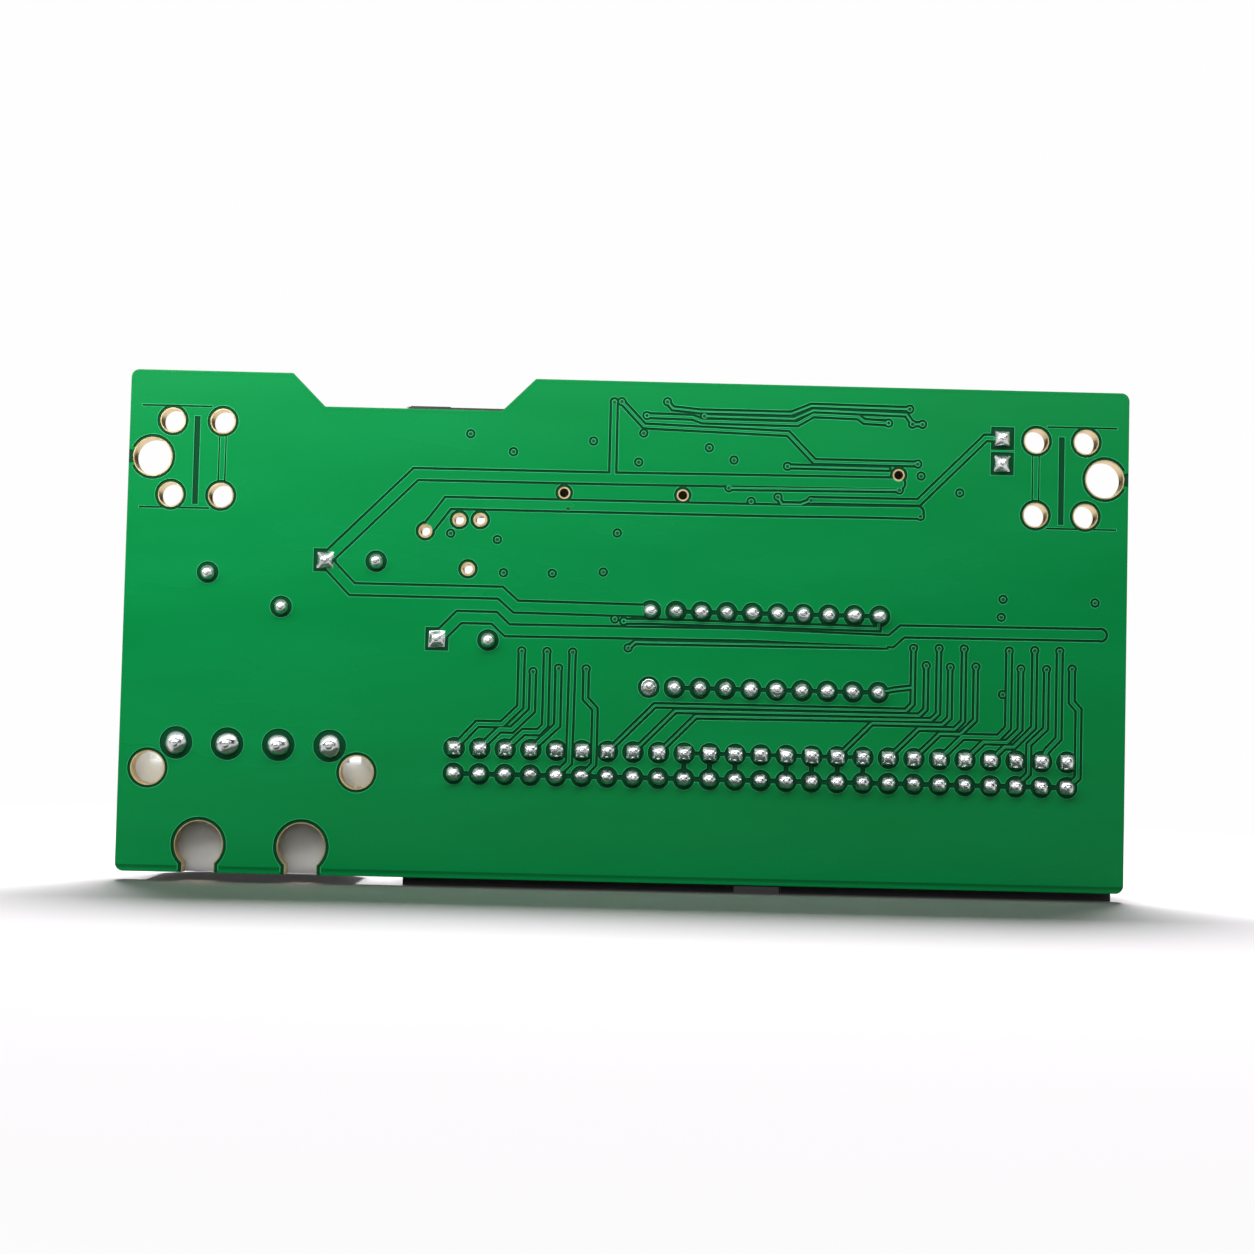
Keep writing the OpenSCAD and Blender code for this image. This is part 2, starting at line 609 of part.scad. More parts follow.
module capacitor_cans() color("#3b4bb0") stand() component_side() for (c = CAPS)
    translate([cap_mid(c)[0], cap_mid(c)[1], seat + can_gap]) difference() {
        rotate_extrude() polygon([
            [0, 0.6], [can_d / 2 - 0.9, 0.6], [can_d / 2 - 0.9, 0], [can_d / 2 - 0.3, 0],
            [can_d / 2, 0.3], [can_d / 2, can_bead_h - 0.4], [can_d / 2 - 0.35, can_bead_h],
            [can_d / 2, can_bead_h + 0.4], [can_d / 2, can_h - 0.4], [can_d / 2 - 0.4, can_h], [0, can_h]]);
        for (a = [0, 90]) translate([0, 0, can_h]) rotate([0, 0, a])
            cube([can_d * 0.7, 0.4, 0.3], center = true);
    }

module capacitor_seals() color("dimgray") stand() component_side() for (c = CAPS)
    translate([cap_mid(c)[0], cap_mid(c)[1], seat]) difference() {
        cylinder(h = can_gap + 0.6, d = can_d - 1.8);
        for (s = [-1, 1]) translate([s * CAP_SPAN / 2, 0, -1]) cylinder(h = 3, d = lead_d);
    }

module straight_lead(p, top) translate([p[0], p[1], -board_t - tail])
    cylinder(h = board_t + tail + top, d = lead_d);

module capacitor_leads() color("silver") stand() component_side() for (c = CAPS)
    for (s = [0, 1]) straight_lead(c + [s * CAP_SPAN, 0], seat + can_gap + 0.6);

fuse_run = FUSE[1] - FUSE[0];
fuse_angle = atan2(fuse_run[1], fuse_run[0]);
fuse_mid = (FUSE[0] + FUSE[1]) / 2;
fuse_w = 10.4;
fuse_h = 8.6;
fuse_t = 3;
fuse_lift = 1.4;
fuse_top = seat + fuse_lift + fuse_h;

module fuse_body() color("goldenrod") stand() component_side()
    translate([fuse_mid[0], fuse_mid[1], seat + fuse_lift]) rotate([0, 0, fuse_angle])
        translate([-fuse_w / 2, fuse_t / 2, 0]) rotate([90, 0, 0])
            linear_extrude(fuse_t) rounded_rect(fuse_w, fuse_h, 1.6);

module fuse_leads() color("silver") stand() component_side()
    for (p = FUSE) straight_lead(p, seat + fuse_lift);

// ---- two-pin jumper header ----
module jumper_block() color("#1c1c1e") stand() component_side() difference() {
    translate([JUMPER[0][0] - pitch / 2, JUMPER[0][1] - pitch / 2, seat]) cube([pitch, 2 * pitch, pitch]);
    for (p = JUMPER) translate(p) cube([pin_side, pin_side, 4 * pitch], center = true);
}

module jumper_pins() color("gold") stand() component_side() for (p = JUMPER)
    translate([p[0] - pin_side / 2, p[1] - pin_side / 2, -board_t - tail])
        cube([pin_side, pin_side, board_t + tail + seat + pitch + 6]);

// ---- memory card socket at the finger notch ----
card_u = 27.4;                      // left side of the socket
card_depth = 10.7;
card_front_v = board_h - notch_depth + 0.45;
card_back_v = card_front_v - card_depth;
sheet = 0.2;
card_slot_h = 0.9;                  // height of the card's slot

module card_socket_shell() color("silver") stand() component_side() difference() {
    union() {
        translate([card_u, card_back_v, seat]) cube([card_w, card_depth, card_h]);
        translate([card_u + 0.7, card_front_v - 1, seat + card_h - sheet]) cube([3.6, 1.3, sheet]);
    }
    translate([card_u + sheet, card_back_v + sheet, seat - 1])
        cube([card_w - 2 * sheet, card_depth, card_h + 1 - sheet]);
    // windows over the contacts, and a slot for the card's brake
    for (i = [0 : 3]) translate([card_u + 2.2 + i * 2.6, card_back_v + 3, seat + 1])
        cube([1.6, 3.2, 2]);
    translate([card_u + card_w / 2 - 3, card_back_v + 7.8, seat + 1]) cube([6, 0.9, 2]);
}

module card_socket_base() color("#202022") stand() component_side() {
    difference() {
        translate([card_u + sheet, card_back_v + sheet, seat])
            cube([card_w - 2 * sheet, card_depth - sheet, card_h - sheet]);
        translate([card_u + 1.2, card_back_v + 1.6, card_floor])
            cube([card_w - 2.4, card_depth, card_slot_h + 1]);
        card_contacts(0.3, 0.4);
    }
    // the card stop beside the mouth
    translate([card_u + 0.4, card_front_v - eps, seat + 0.3]) cube([4, 0.12 + eps, 0.5]);
}

card_floor = seat + card_h - sheet - card_slot_h;
contact_pitch = 1.1;

// Eight contact strips in grooves of the slot's floor
module card_contacts(sink, t) for (i = [0 : 7])
    translate([card_u + card_w / 2 + (i - 3.5) * contact_pitch - 0.3, card_back_v + 1.8, card_floor - sink])
        cube([0.6, 6, t]);

module card_socket_contacts() color("gold") stand() component_side() card_contacts(0.3, 0.28);

// ---- small USB socket on the top edge ----
usb_u = card_u + card_w + 8.1;      // clear of the card socket
usb_w = 7.6;
usb_depth = 5;
usb_h = 2.5;

module usb_shell() color("silver") stand() component_side() difference() {
    upwards(board_h - usb_depth, usb_depth) usb_outline(0);
    upwards(board_h - usb_depth + 0.5, usb_depth) usb_outline(0.25);
}

module usb_outline(inset) polygon([
    [usb_u - usb_w / 2 + inset, seat + 0.9], [usb_u - usb_w / 2 + 0.9 + inset / 2, seat + inset],
    [usb_u + usb_w / 2 - 0.9 - inset / 2, seat + inset], [usb_u + usb_w / 2 - inset, seat + 0.9],
    [usb_u + usb_w / 2 - inset, seat + usb_h - inset], [usb_u - usb_w / 2 + inset, seat + usb_h - inset]]);

module usb_tongue() color("#202022") stand() component_side()
    translate([usb_u - 1.9, board_h - usb_depth + 0.5, seat + 1.1]) cube([3.8, 3.7, 0.6]);

// ---- pads of the parts that are soldered on the surface ----
// A pad's rectangle about its middle, grown on every side
module pad(mid, size, grow) translate(mid) square(size + 2 * [grow, grow], center = true);

// A row of pads along one side of a chip
module pad_row(count, step, size, reach, grow)
    if (grow > step / 2) pad([reach, 0], [size[0], (count - 1) * step + size[1]], grow);
    else for (i = [0 : count - 1]) pad([reach, (i - (count - 1) / 2) * step], size, grow);

module surface_pad_outline(grow) {
    translate(chip_mid) for (a = [0, 90, 180, 270]) rotate(a)
        pad_row(chip_leads, lead_step, [1.4, 0.28], chip_side / 2 + 0.8, grow);
    for (b = BUFFERS) translate(b) for (a = [90, 270]) rotate(a)
        pad_row(7, 1.27, [1.6, 0.6], buffer_size[1] / 2 + 0.8, grow);
    translate(regulator_mid) {
        rotate(270) pad_row(3, 2.3, [1.8, 1.1], regulator_size[1] / 2 + 1.3, grow);
        rotate(90) pad_row(1, 1, [1.8, 3.4], regulator_size[1] / 2 + 1.3, grow);
    }
    translate(diode_mid) for (a = [90, 270]) rotate(a)
        pad_row(1, 1, [1.5, 2.2], diode_size[1] / 2 + 0.6, grow);
    for (c = concat(CHIP_CAPS, CHIP_RESISTORS)) translate(c[0]) rotate(c[1] ? 90 : 0)
        for (s = [-1, 1]) pad([s * small_chip[0] / 2, 0], [1.1, 1.4], grow);
}

module surface_pads() color("silver") stand() component_side()
    linear_extrude(foil_t) surface_pad_outline(0);

// ---- chips ----
chip_mid = [61.2, 37.3];
chip_h = 1.4;
lead_reach = 1;
lead_step = 0.5;

// A gull-wing lead in its (reach, height) plane, from the body outwards
function gull_wing(reach, shoulder, t) = [
    [0, shoulder], [reach * 0.3, shoulder], [reach * 0.5, t], [reach, t], [reach, 0],
    [reach * 0.42, 0], [reach * 0.22, shoulder - t], [0, shoulder - t]];

module gull_lead(reach, shoulder, w) translate([0, w / 2, 0]) rotate([90, 0, 0])
    linear_extrude(w) polygon(gull_wing(reach, shoulder, 0.15));

module controller_body() color("#2a2a2c") stand() component_side()
    translate([chip_mid[0], chip_mid[1], seat + 0.1]) difference() {
        translate([-chip_side / 2, -chip_side / 2, 0]) cube([chip_side, chip_side, chip_h]);
        translate([-chip_side / 2 + 1.5, chip_side / 2 - 1.5, chip_h - 0.1]) cylinder(h = 1, d = 1);
    }

module controller_leads() color("silver") stand() component_side()
    translate([chip_mid[0], chip_mid[1], seat]) for (a = [0, 90, 180, 270]) rotate([0, 0, a])
        for (i = [0 : chip_leads - 1])
            translate([chip_side / 2, (i - (chip_leads - 1) / 2) * lead_step, 0])
                gull_lead(lead_reach, 0.85, 0.22);

BUFFERS = [[43, 25.9], [81.9, 27.6], [91.6, 27.6]];
buffer_size = [8.65, 3.9, 1.5];

module buffer_bodies() color("#2a2a2c") stand() component_side() for (b = BUFFERS)
    translate([b[0], b[1], seat + 0.1]) difference() {
        translate([-buffer_size[0] / 2, -buffer_size[1] / 2, 0]) cube(buffer_size);
        translate([-buffer_size[0] / 2 + 0.9, -buffer_size[1] / 2 + 0.9, buffer_size[2] - 0.1])
            cylinder(h = 1, d = 0.8);
    }

module buffer_leads() color("silver") stand() component_side() for (b = BUFFERS)
    translate([b[0], b[1], seat]) for (a = [90, 270]) rotate([0, 0, a]) for (i = [-3 : 3])
        translate([buffer_size[1] / 2, i * 1.27, 0]) gull_lead(1.05, 0.9, 0.4);

regulator_mid = [77, 40.6];
regulator_size = [6.5, 3.5, 1.6];

module regulator_body() color("#2a2a2c") stand() component_side()
    translate([regulator_mid[0], regulator_mid[1], seat + 0.1 + regulator_size[2] / 2])
        cube(regulator_size, center = true);

module regulator_leads() color("silver") stand() component_side()
    translate([regulator_mid[0], regulator_mid[1], seat]) {
        for (i = [-1 : 1]) translate([i * 2.3, -regulator_size[1] / 2, 0]) rotate([0, 0, 270])
            gull_lead(1.6, 0.95, 0.7);
        translate([0, regulator_size[1] / 2, 0]) rotate([0, 0, 90]) gull_lead(1.6, 0.95, 3);
    }

diode_mid = [43.5, 38.5];
diode_size = [3.1, 4.4, 2.2];

module diode_body() color("#2a2a2c") stand() component_side()
    translate([diode_mid[0], diode_mid[1], seat + 0.1 + diode_size[2] / 2])
        cube(diode_size, center = true);

module diode_terminals() color("silver") stand() component_side()
    translate([diode_mid[0], diode_mid[1], seat]) for (a = [90, 270]) rotate([0, 0, a])
        translate([diode_size[1] / 2, 0, 0]) gull_lead(0.8, 1.2, 1.9);

module crystal_can() color("silver") stand() component_side() translate([72, 33, seat])
    linear_extrude(1.2) rounded_rect(5, 3.2, 0.6);

// ---- chip capacitors and resistors: [middle, turned] ----
row_u = usb_u + usb_w / 2;          // the row beside the USB socket starts at its side
row_v = board_h - 2.8;
CHIP_CAPS = [[[52, 34.5], true], [[52, 40.5], true], [[row_u + 4.7, row_v], false], [[row_u + 8.7, row_v], false],
             [[71.2, 39], true], [[71.2, 42.5], true], [[82.8, 40.6], true], [[46.8, 36.2], true],
             [[49.4, 28.6], false], [[86.9, 33.2], false], [[96.8, 33.2], false]];
CHIP_RESISTORS = [[[row_u + 12.7, row_v], false], [[row_u + 16.7, row_v], false],
                  [[row_u + 20.7, row_v], false], [[82.8, 35.6], true], [[80, 33.6], false], [[44.5, 45.5], true], [[42.8, 31.2], false], [[46.6, 31.2], false]];
small_chip = [2, 1.25, 0.7];
end_cap = 0.4;

module placed(part) translate([part[0][0], part[0][1], seat]) rotate([0, 0, part[1] ? 90 : 0]) children();

module small_chip_body(h) translate([-small_chip[0] / 2 + end_cap, -small_chip[1] / 2, 0])
    cube([small_chip[0] - 2 * end_cap, small_chip[1], h]);

module small_chip_ends(h) for (s = [0, 1])
    translate([s ? small_chip[0] / 2 - end_cap : -small_chip[0] / 2, -small_chip[1] / 2, 0])
        cube([end_cap, small_chip[1], h]);

module chip_capacitors() color("burlywood") stand() component_side()
    for (c = CHIP_CAPS) placed(c) small_chip_body(small_chip[2]);

module chip_resistors() color("#303034") stand() component_side()
    for (c = CHIP_RESISTORS) placed(c) small_chip_body(small_chip[2] * 0.7);

module chip_end_caps() color("silver") stand() component_side() {
    for (c = CHIP_CAPS) placed(c) small_chip_ends(small_chip[2]);
    for (c = CHIP_RESISTORS) placed(c) small_chip_ends(small_chip[2] * 0.7);
}

module status_lamp() color("lightyellow") stand() component_side() placed([[row_u + 1.9, row_v], false])
    translate([-1, -0.6, 0]) cube([2, 1.2, 0.8]);

laminate();
solder_side_foil();
component_side_foil();
hole_plating();
lead_lands();
surface_pads();
header_shroud();
header_pins();
header_joints();
power_shroud();
power_pins();
power_joints();
network_sockets();
network_contacts();
network_bodies();
network_leads();
network_joints();
capacitor_cans();
capacitor_seals();
capacitor_leads();
fuse_body();
fuse_leads();
two_lead_joints();
jumper_block();
jumper_pins();
jumper_joints();
card_socket_shell();
card_socket_base();
card_socket_contacts();
usb_shell();
usb_tongue();
controller_body();
controller_leads();
buffer_bodies();
buffer_leads();
regulator_body();
regulator_leads();
diode_body();
diode_terminals();
crystal_can();
chip_capacitors();
chip_resistors();
chip_end_caps();
status_lamp();
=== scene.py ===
# %% [markdown]
# # A storage card adapter board
# The object is a printed circuit board, 100 mm wide and 50 mm high. It stands on the mouth
# of its box header with its solder side to the front and its components behind it. The
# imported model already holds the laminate, the etched copper and every component at its true
# size. This lesson gives those pieces their finishes, and makes the few forms that only a
# surface worked out in numpy can give: the mask that sags over each edge of the copper and
# into the vias, the solder, and the printed outlines behind.

import json

import bpy
import numpy as np
from mathutils import Matrix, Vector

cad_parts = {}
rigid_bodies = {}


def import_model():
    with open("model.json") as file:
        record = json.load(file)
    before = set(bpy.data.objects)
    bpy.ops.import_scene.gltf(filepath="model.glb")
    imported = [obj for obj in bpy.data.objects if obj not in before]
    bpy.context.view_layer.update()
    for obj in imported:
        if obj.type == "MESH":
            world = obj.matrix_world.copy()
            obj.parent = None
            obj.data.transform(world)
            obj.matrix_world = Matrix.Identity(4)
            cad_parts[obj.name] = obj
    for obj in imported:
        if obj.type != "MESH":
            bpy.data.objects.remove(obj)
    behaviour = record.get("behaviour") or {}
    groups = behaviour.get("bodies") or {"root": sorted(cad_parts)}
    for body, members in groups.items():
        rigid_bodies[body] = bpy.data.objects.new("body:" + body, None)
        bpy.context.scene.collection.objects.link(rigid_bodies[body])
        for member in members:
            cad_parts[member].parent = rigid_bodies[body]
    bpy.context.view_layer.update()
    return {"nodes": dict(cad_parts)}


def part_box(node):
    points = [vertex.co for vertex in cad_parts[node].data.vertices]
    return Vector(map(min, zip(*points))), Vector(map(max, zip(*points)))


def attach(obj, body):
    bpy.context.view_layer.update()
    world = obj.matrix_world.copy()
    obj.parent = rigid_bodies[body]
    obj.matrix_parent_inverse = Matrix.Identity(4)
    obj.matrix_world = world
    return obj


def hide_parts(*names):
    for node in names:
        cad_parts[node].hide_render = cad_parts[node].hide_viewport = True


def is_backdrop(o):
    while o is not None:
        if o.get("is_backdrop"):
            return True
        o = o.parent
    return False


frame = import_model()
nodes = frame["nodes"]
print("CAD pieces:", len(nodes))

# %% [markdown]
# ## Where things are
# The board's own coordinates are the ones a circuit designer uses: u runs right from the
# left edge and v up from the bottom edge, both seen from the solder side, and the height is
# measured out of the solder face. They could be typed as numbers, but the boxes of the
# laminate and of the foil already give the edges and faces, so they are read from there.

# %% Places on the board
MM = 0.001
low, high = (np.array(corner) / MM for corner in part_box("laminate"))
LEFT, SOLDER_FACE, BOTTOM = low
PART_FACE = high[1]
FOIL = SOLDER_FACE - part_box("solder_side_foil")[0][1] / MM   # thickness of the masked copper
PITCH = 2.54                                                 # the grid of every pin header


def on_board(u, v, height):
    """Points in metres: u and v along the board, and the height out of its solder face, in mm."""
    u, v, height = np.broadcast_arrays(u, v, height)
    return MM * np.stack([LEFT + u, SOLDER_FACE - height, BOTTOM + v], -1)


print(f"board {high[0] - low[0]:.1f} x {high[2] - low[2]:.1f} mm, laminate {high[1] - low[1]:.2f} mm,"
      f" foil {FOIL:.3f} mm")

# %% [markdown]
# ## The camera
# The board is seen almost square on, from about 200 mm away, with the camera low over the
# table. A camera could be turned by three angles, but here its three axes are worked out
# from yaw, pitch and roll, so that the view can be stated as one matrix.

# %% Camera
# The lens is in mm over a sensor 36 mm wide, and the eye in mm from the frame's origin.
yaw, pitch, roll = np.radians([0.305, 2.463, 1.365])
ahead = np.array([np.sin(yaw) * np.cos(pitch), np.cos(yaw) * np.cos(pitch), np.sin(pitch)])
level = np.array([np.cos(yaw), -np.sin(yaw), 0.0])
upright = np.cross(level, ahead)
right = np.cos(roll) * level + np.sin(roll) * upright
above = np.cos(roll) * upright - np.sin(roll) * level
eye = MM * np.array([-0.92, -205.11, 17.68])

camera = bpy.data.objects.new("camera", bpy.data.cameras.new("camera"))
camera.data.sensor_width = 36
camera.data.lens = 57.42
camera.data.clip_start = 0.01
camera.matrix_world = Matrix([[*row, place] for row, place in
                              zip(np.stack([right, above, -ahead], 1).tolist(), eye)] + [[0, 0, 0, 1]])
bpy.context.scene.collection.objects.link(camera)
bpy.context.scene.camera = camera
bpy.context.scene.view_settings.view_transform = "Standard"
print("camera looks along", ahead.round(3))

# %% [markdown]
# ## Colours and nodes
# Paint and plastic colours are usually written as sRGB hex codes, but the renderer adds up
# light, so each code is turned to linear values first. One small function adds a node: its
# settings are the node's own properties, and its inputs are either values or sockets of
# other nodes. A Mix node has inputs for every kind of data, and its two colours are the ones
# numbered 6 and 7. Patterns are sized from real millimetres.

# %% Helpers for materials
def colour(code):
    """Linear RGBA of an sRGB hex code: below 0.04 a straight line, above it a power of 2.4."""
    srgb = np.array([int(code[i:i + 2], 16) for i in (1, 3, 5)]) / 255
    linear = np.where(srgb <= 0.04045, srgb / 12.92, ((srgb + 0.055) / 1.055) ** 2.4)
    return (*linear.tolist(), 1.0)


def per(size):
    """Scale of a pattern whose cells are size mm across, in Object coordinates of metres."""
    return 1 / (size * MM)


def add(tree, kind, inputs, **settings):
    """Adds a node with its settings, then sets each input or links it to a socket."""
    node = tree.nodes.new(kind)
    for name, value in settings.items():
        setattr(node, name, value)
    for name, value in inputs.items():
        if isinstance(value, bpy.types.NodeSocket):
            tree.links.new(value, node.inputs[name])
        else:
            node.inputs[name].default_value = value
    return node


def finish(name, **shader):
    """A material with one Principled shader, its node tree, the shader and Object coordinates."""
    material = bpy.data.materials.new(name)
    material.use_nodes = True
    tree = material.node_tree
    surface = tree.nodes["Principled BSDF"]
    for socket, value in shader.items():
        surface.inputs[socket.replace("_", " ")].default_value = value
    place = add(tree, "ShaderNodeTexCoord", {}).outputs["Object"]
    return material, tree, surface, place


def wear(tree, surface, place, size, codes, rough, stretch=(1, 1, 1), depth=0.0, detail=3.0):
    """Colour, roughness and bump from one noise whose patches are size mm across. The noise
    hardly leaves 0.3 to 0.7, so that span is spread over both colours and both roughnesses."""
    turned = add(tree, "ShaderNodeMapping", {"Vector": place, "Scale": stretch}).outputs[0]
    noise = add(tree, "ShaderNodeTexNoise",
                {"Vector": turned, "Scale": per(size), "Detail": detail}).outputs["Fac"]
    spread = add(tree, "ShaderNodeMapRange", {"Value": noise, "From Min": 0.3, "From Max": 0.7})
    blend = add(tree, "ShaderNodeMix",
                {0: spread.outputs[0], 6: colour(codes[0]), 7: colour(codes[1])}, data_type="RGBA")
    tree.links.new(blend.outputs[2], surface.inputs["Base Color"])
    gloss = add(tree, "ShaderNodeMapRange", {"Value": noise, "From Min": 0.3, "From Max": 0.7,
                                             "To Min": rough[0], "To Max": rough[1]})
    tree.links.new(gloss.outputs[0], surface.inputs["Roughness"])
    if depth:
        bump = add(tree, "ShaderNodeBump", {"Height": noise, "Distance": depth * MM})
        tree.links.new(bump.outputs[0], surface.inputs["Normal"])
    return blend.outputs[2]


def dress(material, *names):
    """Gives the material to every slot of the named CAD pieces."""
    for name in names:
        for slot in nodes[name].material_slots:
            slot.material = material


# %% [markdown]
# ## Floor, light and background
# The board stands on a white sweep of paper. A real sweep is lit until it is white, but
# here more light would also bleach the board, so only the camera and mirror images see it
# white. For scattered light it is grey, so that it doesn't light the board from below. It
# takes the board's shadow, and far away it is pure white, which hides the line where paper
# and background meet.

# %% Paper floor and white background
FADE_FROM, FADE_TO = 0.075, 0.17                             # where the paper turns white, in metres
GLOW, ROOM_LIGHT = 0.03, 0.07                                # strengths of the paper's lift and the room


def seen_by_eye(tree):
    """1 for rays from the camera, or from a mirror image or a clear body that it looks at."""
    rays = add(tree, "ShaderNodeLightPath", {})
    direct = add(tree, "ShaderNodeMath",
                 {0: rays.outputs["Is Camera Ray"], 1: rays.outputs["Is Glossy Ray"]},
                 operation="MAXIMUM").outputs[0]
    return add(tree, "ShaderNodeMath", {0: direct, 1: rays.outputs["Is Transmission Ray"]},
               operation="MAXIMUM").outputs[0]


floor_mesh = bpy.data.meshes.new("paper_floor")
floor_mesh.from_pydata([(-4, -4, 0), (4, -4, 0), (4, 4, 0), (-4, 4, 0)], [], [(0, 1, 2, 3)])
floor = bpy.data.objects.new("paper_floor", floor_mesh)
bpy.context.scene.collection.objects.link(floor)
floor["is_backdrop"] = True

paper, tree, surface, place = finish("white_paper_sweep", Roughness=0.9, Specular_IOR_Level=0.0)
seen = seen_by_eye(tree)
away = add(tree, "ShaderNodeVectorMath", {0: place}, operation="LENGTH").outputs["Value"]
far = add(tree, "ShaderNodeMapRange", {"Value": away, "From Min": FADE_FROM, "From Max": FADE_TO},
          interpolation_type="SMOOTHSTEP").outputs[0]
faded = add(tree, "ShaderNodeMath", {0: far, 1: seen}, operation="MULTIPLY").outputs[0]
lifted = add(tree, "ShaderNodeMath", {0: seen, 1: GLOW}, operation="MULTIPLY").outputs[0]
tone = add(tree, "ShaderNodeMix", {0: seen, 6: colour("#808080"), 7: colour("#f6f1f5")},
           data_type="RGBA")
tree.links.new(tone.outputs[2], surface.inputs["Base Color"])
white = add(tree, "ShaderNodeEmission", {"Color": colour("#fefefe"), "Strength": 1.0}).outputs[0]
tree.links.new(lifted, surface.inputs["Emission Strength"])
surface.inputs["Emission Color"].default_value = colour("#ffffff")
out = tree.nodes["Material Output"]
swept = add(tree, "ShaderNodeMixShader", {0: faded, 1: surface.outputs[0], 2: white}).outputs[0]
tree.links.new(swept, out.inputs["Surface"])
floor_mesh.materials.append(paper)

world = bpy.data.worlds.new("studio")
bpy.context.scene.world = world
world.use_nodes = True
tree = world.node_tree
tree.nodes.clear()
seen = seen_by_eye(tree)
room = add(tree, "ShaderNodeBackground", {"Color": colour("#ffffff"), "Strength": ROOM_LIGHT}).outputs[0]
white = add(tree, "ShaderNodeBackground", {"Color": colour("#fefefe"), "Strength": 1.0}).outputs[0]
mixed = add(tree, "ShaderNodeMixShader", {0: seen, 1: room, 2: white}).outputs[0]
add(tree, "ShaderNodeOutputWorld", {"Surface": mixed})
print("floor and background ready")

# %% [markdown]
# ## Lamps
# Three soft boxes do the work of a product studio: a strip close over the front, whose
# light falls off down the board, a long weak one high behind the camera, which looks into
# the holes and puts a spark on every joint, and a wide one overhead and behind, which throws
# the board's shadow forward. Each is an area lamp that is aimed by its own axes. The front two
# are kept off the paper, as a studio does with flags, or they would wash that shadow out.
# Solder and gloss need something dark to reflect as well, or they go chalky. A studio puts
# black cards out of the picture for that, so one stands far in front and one far behind,
# and only reflections see them.

# %% Soft boxes
def soft_box(name, where, aim, size, power):
    """An area lamp at where, in mm, whose axis points at aim."""
    lamp = bpy.data.objects.new(name, bpy.data.lights.new(name, "AREA"))
    lamp.data.shape = "RECTANGLE"
    lamp.data.size, lamp.data.size_y = size[0] * MM, size[1] * MM
    lamp.data.energy = power
    lamp.visible_camera = False
    back = np.array(where, float) - aim
    back /= np.linalg.norm(back)
    side = np.cross([0, 1, 0.01], back)
    side /= np.linalg.norm(side)
    axes = np.stack([side, np.cross(back, side), back], 1)
    lamp.matrix_world = Matrix([[*row, p * MM] for row, p in zip(axes.tolist(), where)]
                               + [[0, 0, 0, 1]])
    bpy.context.scene.collection.objects.link(lamp)
    return lamp


strip = soft_box("front_strip_box", (-20, -60, 104), (0, 0, 38), (300, 40), 0.3)
fill = soft_box("front_fill_box", (0, -420, 160), (0, 0, 25), (560, 70), 0.34)
soft_box("top_soft_box", (0, 300, 560), (0, 0, 0), (440, 260), 6.3)

black, tree, surface, place = finish("black_studio_card", Base_Color=colour("#0a0a0a"),
                                     Roughness=0.9, Specular_IOR_Level=0.0)
for name, y in (("front_black_card", -0.7), ("rear_black_card", 0.9)):
    mesh = bpy.data.meshes.new(name)
    mesh.from_pydata([(-1.4, y, 0.01), (1.4, y, 0.01), (1.4, y, 1.2), (-1.4, y, 1.2)], [],
                     [(0, 1, 2, 3)])
    mesh.materials.append(black)
    card = bpy.data.objects.new(name, mesh)
    bpy.context.scene.collection.objects.link(card)
    card.visible_camera = card.visible_diffuse = card.visible_transmission = card.visible_shadow = False
    card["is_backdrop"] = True
board_only = bpy.data.collections.new("lit_by_the_front_boxes")
strip.light_linking.receiver_collection = board_only
fill.light_linking.receiver_collection = board_only
print("three soft boxes and two black cards")

# %% [markdown]
# ## The solder mask
# Solder mask is a glossy green lacquer, printed wet over the whole board and baked. Over
# copper it looks bright green, and over bare laminate, where no metal throws the light
# back, dark green. It could be one green with a painted picture of the tracks, but the
# copper is its own CAD piece, so each layer simply gets its own green. Weave and rolling
# marks of the copper show through as a faint mottling. Close to the bottom edge runs a darker
# line of painted shade, where the board's margin gets less light through it from behind, and
# the height over that edge draws it without a piece of its own.

# %% Mask over copper
# painted shade: the mask's green turns darker in a line that ends this high over the bottom edge, in mm
SHADE_LINE_UP = 0.72                                               # a dark line over the bottom edge, in mm
mask_over_copper, tree, surface, place = finish("solder_mask_over_copper", IOR=1.5,
                                                Specular_IOR_Level=0.12)
green = wear(tree, surface, place, 9, ("#007b3a", "#028140"), (0.25, 0.28),
             stretch=(0.4, 1, 1.6), depth=0.003)
height = add(tree, "ShaderNodeSeparateXYZ", {"Vector": place}).outputs["Z"]
above = add(tree, "ShaderNodeMapRange",
            {"Value": height, "From Min": MM * (BOTTOM + SHADE_LINE_UP - 0.08),
             "From Max": MM * (BOTTOM + SHADE_LINE_UP)}).outputs[0]
below = add(tree, "ShaderNodeMapRange",
            {"Value": height, "From Min": MM * (BOTTOM + SHADE_LINE_UP - 0.2),
             "From Max": MM * (BOTTOM + 0.15)}).outputs[0]
plain = add(tree, "ShaderNodeMath", {0: above, 1: below}, operation="MAXIMUM").outputs[0]
# the painted shade of that line is mixed into the mask's green
shaded = add(tree, "ShaderNodeMix", {0: plain, 6: colour("#005e2b"), 7: green}, data_type="RGBA")
tree.links.new(shaded.outputs[2], surface.inputs["Base Color"])

# %% [markdown]
# The laminate is glass cloth in epoxy resin. Its two faces are masked too, and its cut edges
# show the plies of cloth as pale stripes. The height over the middle of the board tells the
# two apart, because a mask only lies on the faces.

